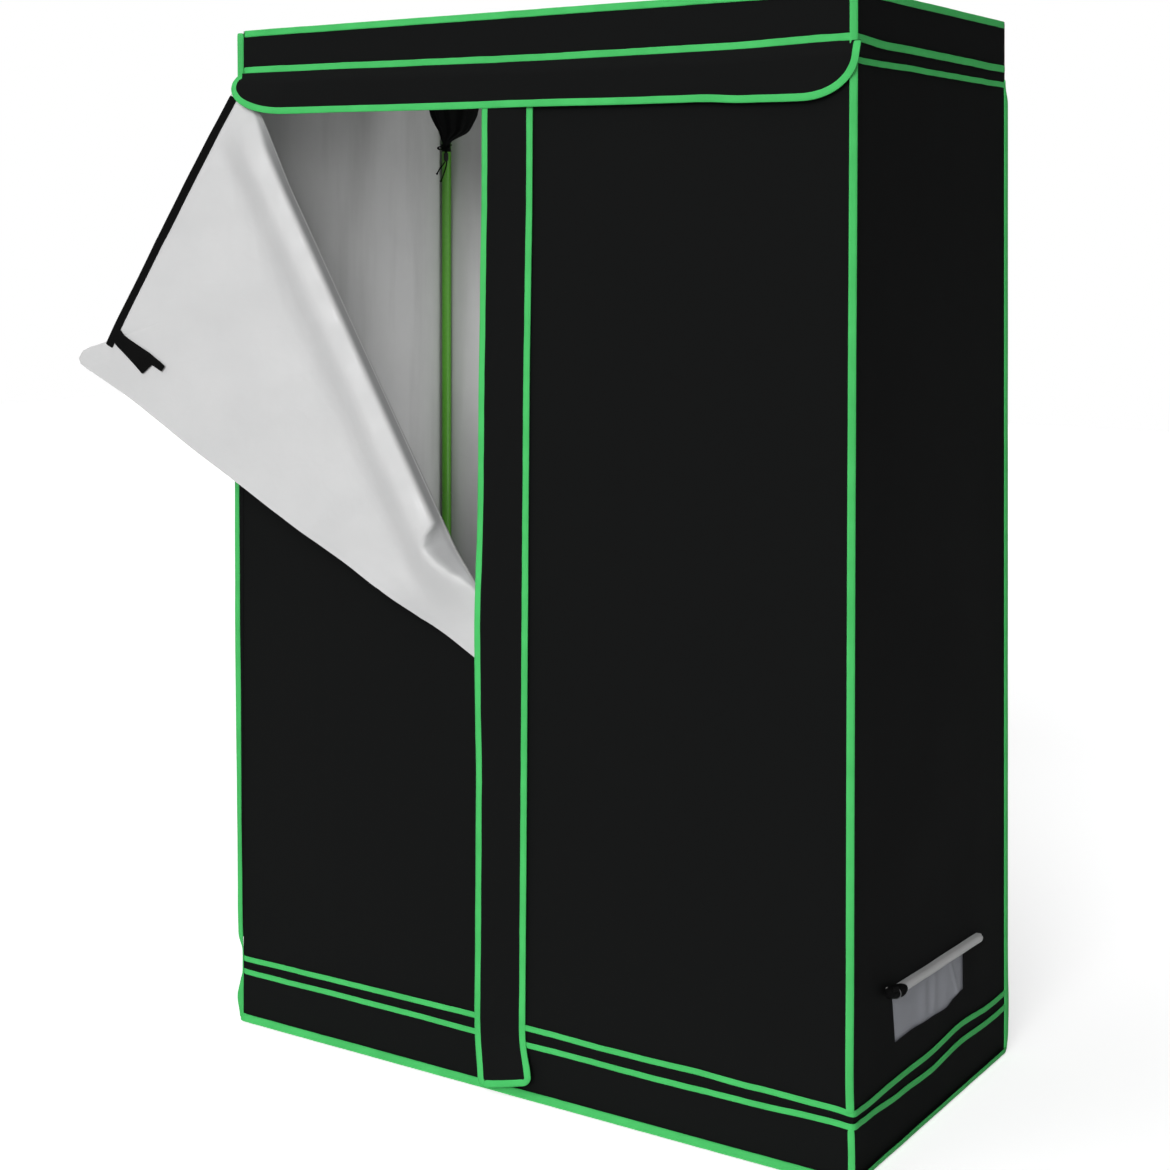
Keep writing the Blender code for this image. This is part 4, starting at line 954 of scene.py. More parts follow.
sections = [door_section(*stop) for stop in free_edge]
door_columns, door_rows = len(sections) - 1, len(sections[0]) - 1
print(f"{door_columns} by {door_rows} cells")

# %% [markdown]
# The facet between the two bends faces away from the light, and its shade is painted as a darker
# grey. Its rows of the grid are known, and the UV map runs along them, so two ramps over those rows
# make the mask for that painted shade.

# %% Lining of the folded door
door_grid = (1.14, 1.2)
fold_lining_painted_shade = silver_cloth.copy()
fold_lining_painted_shade.name = "silver lining, painted fold shade"
tree = fold_lining_painted_shade.node_tree
along_cloth = tree.nodes.new("ShaderNodeSeparateXYZ")
tree.links.new(coordinates(tree, "UV"), along_cloth.inputs["Vector"])


def row_ramp(first, last):
    """0 before the first row of the door's grid, 1 after the last."""
    row = door_grid[1] / door_rows
    rise = ramp(tree, along_cloth.outputs["Y"], first * row, last * row)
    rise.interpolation_type = "SMOOTHSTEP"
    return rise.outputs["Result"]


# Painted shade: a darker grey over the end of the turn and the facet, which face away from the light.
overlay(tree, maths(tree, "SUBTRACT", row_ramp(17.4, 18.4), row_ramp(20.6, 24.0)), (0.34, 0.342, 0.345))
print(fold_lining_painted_shade.name)


# %% Left door
def door_place(u, v):
    return sections[round(u * door_columns)][round(v * door_rows)]


both_sides = [black_cloth, fold_lining_painted_shade]
left_door = lay_cloth("left_door_cloth", door_columns, door_rows, door_grid, door_place, both_sides)
add_body(left_door, wall_thickness, 0.0)
hand_over(left_door, None, "silver_lining", "left_door_corner", "front_left_panel")
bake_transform(left_door)
print("left door", len(left_door.data.polygons), "faces")

# %% [markdown]
# The zip's tape runs along the corner's top edge, and a webbing strap is sewn to its end. Both are
# laid on the same rule as the cloth below them, a little proud of it, so that they follow each
# soft fold. The strap has been cut to a fishtail, with a narrower tail lying beside it.

# %% Tape and strap on the door
# The places of the strap are (place along the fold, reach from the fold).
flap_out = fold_run.cross(fold_in * math.cos(fold_angle) + OUT * math.sin(fold_angle)).normalized()
flap_out = flap_out if flap_out.y < 0 else -flap_out
tape_start, tape_run, tape_width, tape_over = -0.004, 0.2975, 0.0172, 0.0006
tape_slope = (0.837, 0.547)


def on_corner(along, reach, lift):
    return hanging(along, reach) + flap_out * lift


def top_edge(along):
    """Reach of the corner's top edge at a place along the fold."""
    for near, far in zip(edge_stops[:5], edge_stops[1:6]):
        if along <= far[0]:
            break
    return near[1] + (far[1] - near[1]) * (along - near[0]) / (far[0] - near[0])


def door_tape_place(u, v):
    along = tape_start + tape_run * (1 - u)
    inwards = tape_width * (1 - v) - tape_over
    return on_corner(along + tape_slope[0] * inwards, top_edge(along) - tape_slope[1] * inwards, 0.0011)


door_tape = lay_cloth("door_zip_tape_cloth", 90, 4, (0.5, 0.015), door_tape_place, [black_tape])
add_body(door_tape, 0.0012, 0.0, 1)
hand_over(door_tape, "left_door", "black_webbing", "door_zip_tape")


def between(near_line, far_line, lift):
    """A rule that lays a strap between two lines on the door's corner, rising along its length."""

    def at(line, share):
        place = share * (len(line) - 1)
        k = min(int(place), len(line) - 2)
        part = place - k
        return [line[k][i] + (line[k + 1][i] - line[k][i]) * part for i in (0, 1)]

    def place(u, v):
        near, far = at(near_line, u), at(far_line, u)
        spot = [near[i] + (far[i] - near[i]) * v for i in (0, 1)]
        return on_corner(*spot, lift + 0.0012 * u)

    return place


strap_rule = between(
    [(0.2760, 0.4080), (0.2968, 0.4028), (0.3039, 0.3992), (0.3511, 0.3713), (0.3690, 0.3640)],
    [(0.2890, 0.4300), (0.3080, 0.4255), (0.3300, 0.4180), (0.3560, 0.4100), (0.3787, 0.4038)],
    0.0024,
)
strap = lay_cloth("door_strap", 24, 6, (0.11, 0.03), strap_rule, [black_tape])
add_body(strap, 0.0015, 0.0, 1)
hand_over(strap, "left_door", "black_webbing", "door_tie_strap")
tail_rule = between(
    [(0.3480, 0.3735), (0.3759, 0.3599), (0.3866, 0.3553)],
    [(0.3520, 0.3880), (0.3721, 0.3790), (0.3934, 0.3660)],
    0.0036,
)
tail = lay_cloth("door_strap_tail", 12, 3, (0.05, 0.012), tail_rule, [black_tape])
add_body(tail, 0.0013, 0.0, 1)
hand_over(tail, "left_door", "black_webbing")
print("tape and strap laid")

# %% [markdown]
# ## Bound seams
# Every seam of the cover is bound: a green tape is folded round the raw edges and stitched
# through. Some of these fins lie flat on the wall, and the upright ones at the corners stand out
# until a cross seam catches them and pins them down. So a bound seam is a narrow grid between a
# stitched line and a free line, thick enough for the folded tape, with soft edges.

# %% Bound seam helper
binding_width, binding_thickness = 0.010, 0.0026


def bound_seam(name, columns, length, stitched, free, thickness=binding_thickness, material=green_tape):
    """Tape between two lines, each given as a rule over the share of the seam's length."""

    def place(u, v):
        near, far = stitched(u), free(u)
        return near.lerp(far, v)

    piece = lay_cloth(name, columns, 3, (length, binding_width), place, [material])
    add_body(piece, thickness, 0.0, 1)
    return piece


print("bound seam helper ready")

# %% [markdown]
# The level seams run right round the tent. `round_tent` walks along the left side, the front, the
# right side and the back, turning each corner on a small radius, and tells where it is and which
# way is out. Each seam then adds its own height and its own unevenness, which its list of drops
# gives: how far it hangs below its level at a distance from the back left corner.

# %% Walk round the tent
turn_radius = 0.006
side_runs = [
    (Vector((-half_width, half_depth, 0)), -Y, cover_depth),
    (Vector((-half_width, -half_depth, 0)), X, cover_width),
    (Vector((half_width, -half_depth, 0)), Y, cover_depth),
    (Vector((half_width, half_depth, 0)), -X, cover_width),
]
perimeter = sum(run[2] for run in side_runs)
front_right = cover_depth + cover_width
back_right = front_right + cover_depth


def round_tent(distance):
    """Point on the tent's outside, and the way out, at a distance from the back left corner."""
    distance = min(max(distance, 0), perimeter)
    for start, way, span in side_runs:
        if distance <= span + 1e-9:
            outward = way.cross(Z)
            near_end = min(distance, span - distance)
            if near_end < turn_radius:
                toward = -way if distance < span / 2 else way
                bend = (1 - near_end / turn_radius) * math.pi / 4
                outward = outward * math.cos(bend) + toward * math.sin(bend)
                cut = (1 - math.cos(bend)) * turn_radius * 0.8
                return start + way * distance - outward * cut, outward
            return start + way * distance, outward
        distance -= span
    return side_runs[0][0], -X


print(f"{perimeter:.2f} m round the tent")

# %% Level seams
seam_step = 0.009
flat_stand = (0.0018, 0.0018)


def level_seam(name, low, high, start, end, drops, seed, sway=0.0006, stand=flat_stand, tuck=(0, 0)):
    """One level seam from start to end round the tent. Stand says how far its two edges stand
    out, and tuck how much that changes on the right side."""
    length = end - start

    def line(level, lift, change):
        def rule(u):
            distance = start + length * u
            spot, outward = round_tent(distance)
            offset = sway * (waver(distance, 0.11, seed) + 0.5 * waver(distance, 0.035, seed + 3))
            offset += 0.0004 * waver(distance, 0.012, seed + level * 50) - wander(drops, distance)
            over_corner = 0.0032 * bump(distance, front_right, 0.010)
            ripple = 0.0004 * waver(distance, 0.05, seed + 9)
            side = smooth(distance, front_right - 0.008, front_right + 0.020)
            side *= 1 - smooth(distance, back_right - 0.010, back_right + 0.010)
            return spot + outward * (lift + change * side + ripple + over_corner) + Z * (level + offset)

        return rule

    near_line, far_line = line(low, stand[0], tuck[0]), line(high, stand[1], tuck[1])
    piece = bound_seam(name, int(length / seam_step), length, near_line, far_line)
    return hand_over(piece, "tent", "green_binding")


upper_drops = [
    (0, 0.005), (0.61, 0.0), (0.80, 0.0015), (1.00, 0.0045), (1.20, 0.0071), (1.32, 0.0079),
    (1.62, 0.0079), (1.82, 0.0039), (1.835, 0.0039), (1.95, 0.0084), (2.44, 0.0104), (3.6, 0.005),
]
lower_drops = [
    (0, 0.003), (0.61, -0.001), (0.92, -0.0026), (1.2, -0.004), (1.477, -0.0015), (1.568, -0.0031),
    (1.657, -0.0012), (1.793, -0.0005), (1.886, 0.0045), (1.996, 0.0026), (2.112, 0.0047),
    (2.236, -0.0015), (2.368, 0.0065), (2.6, 0.002), (3.1, -0.002), (3.6, 0.003),
]
lowest_drops = [
    (0, 0.001), (0.61, -0.002), (0.92, -0.003), (1.285, -0.001), (1.477, 0), (1.657, -0.0012),
    (1.793, -0.0044), (1.886, -0.0017), (1.996, 0.0042), (2.112, 0.008), (2.236, 0.0018),
    (2.368, 0.0065), (2.6, 0.001), (3.1, 0.002), (3.6, 0.001),
]
no_drops = [(0, 0.0)]
level_seam("seam_upper", 1.7218, 1.7343, 0, perimeter, upper_drops, 1.0, 0.0008, (0.0020, 0.0020))
level_seam("seam_lower", 0.107, 0.117, 0, perimeter, lower_drops, 2.0)
level_seam("seam_lowest", 0.082, 0.092, 0, perimeter, lowest_drops, 3.0)
level_seam("seam_second", 1.685, 1.695, 1.835, perimeter, no_drops, 4.0, 0.0015)
level_seam("seam_second_left", 1.685, 1.695, 0, 0.605, no_drops, 5.0, 0.0015)
level_seam("seam_top", 1.7886, 1.8010, 0, perimeter, no_drops, 6.0, 0.0004, (0.0012, 0.0012))
foot_stand, foot_tuck = (0.0018, 0.0105), (0.0040, -0.0085)
bottom_seam = level_seam(
    "seam_bottom", 0.0125, 0.0016, 0, perimeter, no_drops, 7.0, 0.0, foot_stand, foot_tuck
)
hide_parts("cover_binding")
print("level seams: 7")

# %% [markdown]
# The upright seams stand out from the corners, except where a cross seam pins them down. Each is
# given by its stops: how far the free edge stands out at a level. On the front right corner the
# tape has been pressed flat across the corner, so it faces the camera, and it stops between the
# two low seams, which run round the corner over it.

# %% Upright seam helpers
corner_span = (0.004, 1.797)
pinned = -0.0012


def along_span(span, at_level):
    """Turn a rule over levels into a rule over the share of a span."""
    low, high = span
    return lambda u: at_level(low + (high - low) * u)


def upright_seam(name, span, stitched_at, free_at):
    """Tape up a corner: stitched_at and free_at give both edges at a level."""
    length = span[1] - span[0]
    stitched, free = along_span(span, stitched_at), along_span(span, free_at)
    piece = bound_seam(name, int(length / seam_step), length, stitched, free)
    return hand_over(piece, "tent", "green_binding")


def cloth_under(name, span, stitched_at, corner):
    """The wall's own cloth, drawn out from the corner into the foot of a standing fin."""
    length = span[1] - span[0]

    def root_at(level):
        return Vector(corner) + Z * level

    def tip_at(level):
        reached = stitched_at(level)
        return reached + (reached - root_at(level)).normalized() * 0.0012

    root, tip = along_span(span, root_at), along_span(span, tip_at)
    piece = bound_seam(name, int(length / 0.02), length, root, tip, 0.0014, black_cloth)
    return hand_over(piece, "tent", "black_cloth")


def standing(corner, way, stops, inner, seed):
    """Both edges of a fin that stands out from a corner in one direction."""
    corner, way = Vector(corner), Vector(way).normalized()
    across = way.cross(Z)

    def stitched(level):
        return corner + way * wander(inner, level) + Z * level

    def free(level):
        lean = across * 0.0010 * waver(level, 0.16, seed)
        out = wander(stops, level) + 0.0004 * waver(level, 0.07, seed + 1)
        return corner + way * out + lean + Z * level

    return stitched, free


print("upright seams run from", *corner_span)

# %% The two left corners
# Each stop is (level, how far the edge stands out from the corner).
front_left_stops = [
    (0.004, 0.0060), (0.043, 0.0112), (0.078, 0.0045), (0.086, 0.0012), (0.127, 0.0012),
    (0.156, 0.0090), (0.218, 0.0103), (0.76, 0.0152), (0.95, 0.0156), (1.60, 0.0120),
    (1.70, 0.0060), (1.716, 0.0104), (1.797, 0.0110),
]
front_left_inner = [
    (0.10, pinned), (0.20, 0.0010), (0.40, 0.0030), (0.57, 0.0036), (0.76, 0.0056), (0.95, 0.0068),
    (1.2, 0.0068), (1.6, 0.0020), (1.7, pinned),
]
front_left_way = (-0.8387, -0.5446, 0)
front_left = standing((-0.6105, -0.3052, 0), front_left_way, front_left_stops, front_left_inner, 11.0)
upright_seam("seam_corner_front_left", corner_span, *front_left)
cloth_under("cloth_corner_front_left", (0.15, 1.66), front_left[0], (-0.6095, -0.3045, 0))
back_stops = [
    (0.004, 0.006), (0.05, 0.010), (0.087, 0.001), (0.112, 0.001), (0.16, 0.0105), (1.60, 0.0100),
    (1.685, 0.002), (1.728, 0.002), (1.75, 0.009), (1.797, 0.009),
]
back_left = standing((-half_width, half_depth, 0), (-1, 1, 0), back_stops, [(0, pinned)], 12.0)
upright_seam("seam_corner_back_left", corner_span, *back_left)
print("left corners bound")


# %% The two right corners
def back_right_edge(level):
    """The back right tape lies on the side wall and stands a little past the corner."""
    hold = smooth(level, 1.66, 1.69)
    out = 0.0010 + 0.0015 * (1 - hold)
    past = 0.0079 * (1 - hold) - 0.0006 * hold + 0.0034 * bump(level, 0.085, 0.045)
    past += 0.0008 * waver(level, 0.15, 23) - 0.0077 * (1 - smooth(level, 0.0, 0.03))
    return Vector((half_width + out, half_depth + past, level))


def back_right_stitch(level):
    return Vector((0.6112, 0.2996, level))


upright_seam("seam_corner_back_right", (0.004, 1.700), back_right_stitch, back_right_edge)
# Each stop is (level, how far the pressed tape has slid across the view).
press_drift = [
    (0.004, -0.0019), (0.042, -0.0019), (0.162, -0.0049), (0.357, -0.0042), (0.58, -0.0034),
    (0.88, -0.0027), (1.18, -0.0012), (1.584, 0.0010), (1.8, 0.0014),
]
press_half_width = 0.0064


def pressed(side):
    def at(level):
        drift = wander(press_drift, level) + 0.0005 * waver(level, 0.2, 21)
        return Vector((0.6105, -0.3062, level)) + view_side * (side * press_half_width + drift)

    return at


upright_seam("seam_corner_front_right", (0.110, 1.797), pressed(-1), pressed(1))
upright_seam("seam_corner_front_right_foot", (0.004, 0.088), pressed(-0.85), pressed(0.85))
print("right corners bound")

# %% [markdown]
# ## Storm flap
# The flap covers the zip along the top of the doors. It is sewn under the upper seam and hangs
# over the zip, so it leaves the wall quickly and then falls straight. Its left end is round and
# curls away from the corner, and its lower right corner is cut to a large radius.

# %% Shape of the flap
flap_seam, flap_drop, flap_length = 1.7232, 0.0775, 1.24
flap_low = flap_seam - flap_drop
flap_left, flap_right = -0.6245, 0.6245
left_widest = flap_seam - 0.0252
left_round, right_round, right_rise = 0.1245, 0.095, 0.070
flap_lift, flap_fall = 0.0026, 0.0070
curl_depth, strip_bulge = 0.0125, 0.0016
strip_middle = -0.025


def sewn_level(x):
    """Level of the flap's sewn edge, which follows the seam above it."""
    return flap_seam - 0.0006 - wander(upper_drops, cover_depth + half_width + x)


def on_flap(x, level):
    """The middle of the flap's cloth, at a place along the front and a level."""
    fall = sewn_level(x) - level
    ramped = smooth(fall, 0, 0.020)
    out = flap_lift + flap_fall * ramped
    out += curl_depth * smooth(-x, 0.46, 0.575) * math.sin(math.pi / 2 * min(max(fall, 0) / flap_drop, 1))
    out += strip_bulge * bump(x, strip_middle, 0.06) * ramped
    out += 0.0012 * ramped * (waver(x, 0.13, 31) + 0.5 * waver(x + level * 3, 0.05, 32))
    return Vector((x, -half_depth - out, level))


# Each stop is (place along the flap, how far its lower edge sags there).
low_drops = [
    (-0.50, 0.0), (-0.476, 0.0004), (-0.018, 0.0055), (0.255, 0.0092), (0.347, 0.0098),
    (0.436, 0.0142), (0.5225, 0.0152),
]


def quarter(share):
    """A quarter circle: 0 at share 0, and upright at share 1, where it has risen to 1."""
    return 1 - math.sqrt(max(1 - share * share, 0))


def flap_edge(x):
    """Lowest and highest level of the flap at x."""
    low = flap_low - wander(low_drops, x) + 0.0005 * waver(x, 0.2, 33)
    high = sewn_level(x)
    if x < flap_left + left_round:
        low += (left_widest - flap_low) * quarter((flap_left + left_round - x) / left_round)
    if x < -half_width:
        curled = quarter(1 - (x - flap_left) / (-half_width - flap_left))
        high = left_widest + (high - left_widest) * (1 - curled)
    if x > flap_right - right_round:
        low += right_rise * quarter((x - flap_right + right_round) / right_round)
    return min(low, high - 0.0002), high


straight_start, straight_end = -0.50, flap_right - right_round
round_columns = [flap_left + 0.0145 * quarter(k / 6) for k in range(6)]
round_columns += [-half_width + (straight_start + half_width) * (k / 24) ** 1.3 for k in range(25)]
long_columns = [straight_start + (straight_end - straight_start) * k / 96 for k in range(1, 97)]
long_columns += [straight_end + right_round * math.sin(math.pi / 2 * k / 18) for k in range(1, 19)]
flap_columns = round_columns + long_columns
print(len(flap_columns), "columns")

# %% Flap cloth
flap_thickness = 0.0012
flap_cut = (flap_length, flap_drop)


def flap_place(u, v):
    x = flap_columns[round(u * (len(flap_columns) - 1))]
    low, high = flap_edge(x)
    return on_flap(x, low + (high - low) * v)


flap = lay_cloth("storm_flap_cloth", len(flap_columns) - 1, 14, flap_cut, flap_place, [black_cloth])
add_body(flap, flap_thickness, 0.0)
hand_over(flap, None, "black_cloth", "top_zip_flap")
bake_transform(flap)
print("flap", len(flap.data.polygons), "faces")

# %% Edge of the flap that gets bound
left_bound = (-0.6100, -0.6135, -0.6170, -0.6200, -0.6225, -0.6238)
flap_path = [(x, flap_edge(x)[1]) for x in left_bound]
flap_path.append((flap_left, left_widest))
for k in range(1, 22):
    turn = math.pi / 2 * k / 22
    x = flap_left + left_round * (1 - math.cos(turn))
    flap_path.append((x, left_widest - (left_widest - flap_low) * math.sin(turn)))
flap_path += [(x, flap_edge(x)[0]) for x in long_columns]
last_low = flap_path[-1][1]
flap_path += [(flap_right, last_low + (sewn_level(flap_right) - last_low) * k / 2) for k in (1, 2)]
print("flap edge", len(flap_path), "points")

# %% Binding round the flap and the strip
edge_width, edge_thickness = 0.0115, 0.0030


def edge_binding(name, path, on_cloth):
    """Tape folded round a free edge. The cloth is on the left of the path's direction."""
    inner = []
    for k, point in enumerate(path):
        before, after = path[max(k - 2, 0)], path[min(k + 2, len(path) - 1)]
        way = Vector((after[0] - before[0], after[1] - before[1])).normalized()
        uneven = edge_width + 0.0005 * waver(k * 0.01, 0.04, 41)
        inner.append((point[0] - way.y * uneven, point[1] + way.x * uneven))

    def place(u, v):
        k = round(u * (len(path) - 1))
        spot = [inner[k][i] + (path[k][i] - inner[k][i]) * v * 1.08 for i in (0, 1)]
        return on_cloth(*spot)

    length = sum(math.dist(near, far) for near, far in zip(path, path[1:]))
    piece = lay_cloth(name, len(path) - 1, 4, (length, binding_width), place, [green_tape])
    add_body(piece, edge_thickness, 0.0, 1)
    return piece


flap_tape = edge_binding("storm_flap_tape", flap_path, on_flap)
hand_over(flap_tape, None, "green_binding", "top_flap_binding")
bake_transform(flap_tape)
print("flap bound")

# %% [markdown]
# ## Storm strip
# The upright strip covers the zip between the doors. One edge is sewn to the right door, and the
# free edge lies over the left one. Near the foot of the opening, the folded door pushes it out.
# It leans a little to the left on its way down, as in the photograph, and its edges wander.

# %% Shape of the strip
strip_hinge = Vector((0.017, -0.3084, 0.004))
strip_width, strip_length = 0.098, 1.6410
strip_cut = (strip_width, strip_length)
strip_lean = math.atan(0.013 / 1.6397)
strip_round = 0.014
strip_lift, strip_rise = 0.0026, 0.0052
door_push, push_level, push_spread = 0.0075, 0.756, 0.16
foot_kick = 0.014


def on_strip(across, level):
    """The middle of the strip's cloth, across from its sewn edge and up from its foot."""
    rise = smooth(across, 0, 0.060)
    bow = strip_lift + strip_rise * rise
    bow += door_push * bump(level, push_level, push_spread) * smooth(across, 0, 0.100)
    bow += 0.0010 * rise * waver(level, 0.12, 51) + 0.0006 * rise * waver(level + across * 4, 0.05, 52)
    kick = (1 - smooth(level, 0, 0.11)) * (1 - smooth(level, 0, 0.16) * 0.4)
    near_side = 1 - across / strip_width
    sway = 0.0012 * waver(level, 0.23, 53) + 0.0005 * waver(level, 0.06, 54)
    side = across * (1 + sway * 4)
    x = strip_hinge.x - side * math.cos(strip_lean) + level * math.sin(strip_lean) + sway * 0.4
    x += kick * (0.018 + 0.004 * near_side) - 0.003 * smooth(1.6 - level, 0.1, 0.5)
    z = strip_hinge.z + level * math.cos(strip_lean) + side * math.sin(strip_lean)
    z += kick * (0.002 + 0.024 * near_side)
    return Vector((x, -half_depth - bow - foot_kick * kick, z))


def strip_place(u, v):
    across = strip_width * (1 - u)
    near_edge = min(across, strip_width - across)
    inside = max(strip_round - near_edge, 0)
    foot = strip_round - math.sqrt(strip_round**2 - inside**2)
    return on_strip(across, foot + (strip_length - foot) * v)


strip = lay_cloth("storm_strip_cloth", 18, 180, strip_cut, strip_place, [black_cloth])
add_body(strip, flap_thickness, 0.0)
hand_over(strip, None, "black_cloth", "centre_zip_strip")
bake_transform(strip)
print("strip", len(strip.data.polygons), "faces")

# %% Edge of the strip that gets bound
steps = 180
quarter_turn = [math.pi / 2 * k / 8 for k in range(9)]
straight = strip_length - strip_round
strip_path = [(strip_width, strip_length - straight * k / steps) for k in range(steps)]
for turn in quarter_turn:
    strip_path.append((strip_width - strip_round * (1 - math.cos(turn)), strip_round * (1 - math.sin(turn))))
strip_path += [(strip_width / 2 + side, 0.0) for side in (0.02, 0, -0.02)]
for turn in quarter_turn:
    strip_path.append((strip_round * (1 - math.sin(turn)), strip_round * (1 - math.cos(turn))))
strip_path += [(0, strip_round + straight * k / steps) for k in range(1, steps + 1)]
mirrored = [(-across, level) for across, level in strip_path]
strip_tape = edge_binding("storm_strip_tape", mirrored, lambda across, level: on_strip(-across, level))
hand_over(strip_tape, None, "green_binding", "centre_strip_binding")
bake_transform(strip_tape)
print("strip bound,", len(strip_path), "points")

# %% [markdown]
# ## Zips
# Under the flap and the strip run the zips. Each half of a zip is a woven tape with a row of
# coils on the edge that meets the other half. The coil is a small bead along the tape's edge in
# the mesh, and its separate turns are in the material, drawn from the UV map.

# %% Zip tapes
zip_width, bead_height = 0.0117, 0.0007
zip_x, zip_face = -0.05, -half_depth


def zip_half(name, start, run, across, nodes=()):
    """Half a zip: the coil lies along start to start + run, and the tape extends across."""
    start, run, across = Vector(start), Vector(run), Vector(across)
    width = across.length
    out = run.cross(across).normalized()
    out = out if out.y < 0 else -out

    def place(u, v):
        bead = bead_height * math.sin(math.pi * min(v * width / coil_width, 1))
        return start + run * u + across * v + out * (bead_height + bead)

    cells = max(int(run.length / 0.02), 2)
    piece = lay_cloth(name, cells, 12, (run.length, width), place, [zip_tape])
    add_body(piece, 0.0006, 0.0)
    return hand_over(piece, "tent", "black_webbing", *nodes)


zip_half("zip_centre_right", (zip_x + 0.0003, zip_face, 0.12), Z * 1.558, X * zip_width, ["centre_zip"])
zip_half("zip_centre_left", (zip_x - 0.0003, zip_face, 0.12), Z * 0.563, -X * zip_width)
zip_half("zip_top_header", (-0.598, zip_face, header_foot), X * 1.196, Z * 0.0118, ["top_zip"])
zip_half("zip_top_door", (zip_x, zip_face, 1.6900), X * 0.648, -Z * zip_width)
print("zip halves: 4")

# %% [markdown]
# ## The vent
# The window in the right wall has a net inside it and a flap that rolls up over it. The net is
# slack, so it hangs in shallow upright creases, with one slanting crease where its corner pulls.
# The flap is rolled from its lower edge. A spiral gives its section: the end of the roll shows
# the turns of cloth lying inside each other. The tie holds one end to the wall.

# %% Net
net_cut = (0.316, 0.114)
net_corner = Vector((0.6052, -0.182, 0.144))


def net_place(u, v):
    y, z = net_corner.y + net_cut[0] * u, net_corner.z + net_cut[1] * v
    crease = 0.0012 * math.sin(y * 95 + 2.2 * math.sin(y * 31)) * smooth(v, 0.0, 0.4)
    slant = 0.0022 * bump(y + (z - 0.15) * 0.55, 0.115, 0.006)
    return Vector((net_corner.x + crease * 0.8 + slant * 0.8, y, z))


net = lay_cloth("vent_net", 120, 26, net_cut, net_place, [insect_net])
add_body(net, 0.0003, 0.0)
hand_over(net, "tent", "grey_net", "vent_mesh")
print("net", len(net.data.polygons), "faces")

# %% Rolled flap
roll_cut = (0.365, 0.10)
roll_front, roll_x, roll_level, roll_slope = -0.190, 0.6190, 0.2462, 0.0357
roll_radius, core_radius, roll_turns = 0.0060, 0.0024, 2.7
hem_share = 0.1


def roll_centre(y):
    lifted = 0.006 * smooth(-y, 0.150, 0.200)
    return Vector((roll_x, y, roll_level - roll_slope * y + lifted + 0.0007 * waver(y, 0.09, 61)))


def roll_place(u, v):
    y = roll_front + roll_cut[0] * (1 - u)
    middle = roll_centre(y)
    if v < hem_share:
        return middle + Vector((-0.0084 * (1 - v / hem_share), 0, roll_radius))
    turn = (v - hem_share) / (1 - hem_share)
    angle = math.pi / 2 - math.tau * roll_turns * turn
    uneven = 1 + 0.04 * waver(y, 0.045, 62 + math.floor(turn * roll_turns))
    radius = (roll_radius - (roll_radius - core_radius) * turn) * uneven
    radius *= 1 - 0.5 * smooth(y, 0.166, 0.175) * (1 - turn)
    return middle + Vector((math.cos(angle), 0, math.sin(angle))) * radius


roll = lay_cloth("vent_flap_cloth", 120, 70, roll_cut, roll_place, [silver_cloth, black_cloth])
add_body(roll, 0.0009, 0.0)
hand_over(roll, None, "silver_lining", "vent_flap_roll")
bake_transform(roll)
print("roll", len(roll.data.polygons), "faces")

# %% Tie of the rolled flap
tie_front, tie_radius, tail_width = -0.195, 0.0090, 0.0085


def tie_place(u, v):
    y = -0.207 + 0.058 * u + 0.005 * math.sin(math.tau * (v - 0.2)) * u
    middle = roll_centre(max(y, tie_front))
    angle = math.radians(150) - math.radians(300) * v
    closed = 1 - 0.90 * smooth(-y, 0.193, 0.206)
    radius = (tie_radius + 0.0008 * waver(y + v * 0.05, 0.012, 64) + 0.0006 * math.sin(u * 17)) * closed
    past = (y - tie_front) / radius if y < tie_front else 0
    return middle + Vector((math.cos(angle), past, math.sin(angle))) * radius


def tie_tail_place(u, v):
    middle = roll_centre(-0.180 - 0.022 * u)
    out = 0.0098 + 0.0012 * math.sin(u * 3)
    up = 0.004 + 0.007 * u + tail_width * (v - 0.5) + 0.002 * math.sin(u * 5)
    return middle + Vector((out, 0, up))


tie = lay_cloth("vent_tie_wrap", 30, 40, (0.060, 0.05), tie_place, [black_tape])
add_body(tie, 0.0013, 0.0, 1)
hand_over(tie, None, "black_webbing", "vent_tie")
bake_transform(tie)
tie_tail = lay_cloth("vent_tie_tail", 14, 4, (0.03, tail_width), tie_tail_place, [black_tape])
add_body(tie_tail, 0.0014, 0.0, 1)
hand_over(tie_tail, None, "black_webbing")
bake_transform(tie_tail)
print("tie and its tail")

# %% Ring of the tie
start_fresh()
bpy.ops.mesh.primitive_torus_add(
    location=roll_centre(-0.176) + Vector((0.0012, 0, -0.0008)),
    rotation=(math.radians(96), 0, 0),
    major_segments=40,
    minor_segments=10,
    major_radius=0.0098,
    minor_radius=0.0007,
)
ring = bpy.context.object
ring.name = ring.data.name = "vent_tie_ring"
bpy.ops.object.transform_apply(location=True, rotation=True)
ring.data.materials.append(zip_metal)
hand_over(ring, None, "zip_metal")
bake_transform(ring)
print("ring", len(ring.data.polygons), "faces")

# %% [markdown]
# ## The frame and its fittings
# The tubes, the hanging bars, the corner connectors, the ring of the duct port and the zip sliders
# are stiffer than the cloth, and their solids already have the right shape, so they stay and get
# their finish. Their meshes come as loose triangles. A Weld joins them, an Edge Split keeps the
# true edges crisp, and smooth shading then makes the tubes round without touching the solid.

# %% Finish the rigid solids
solid_finish = {
    "post_": powder_coat,
    "long_rail_": powder_coat,
    "side_rail_": powder_coat,
    "hanging_bar_": powder_coat,
    "corner_connector_": black_plastic,
    "centre_zip_slider": zip_metal,
    "top_zip_slider": zip_metal,
    "duct_port_ring": black_tape,
}


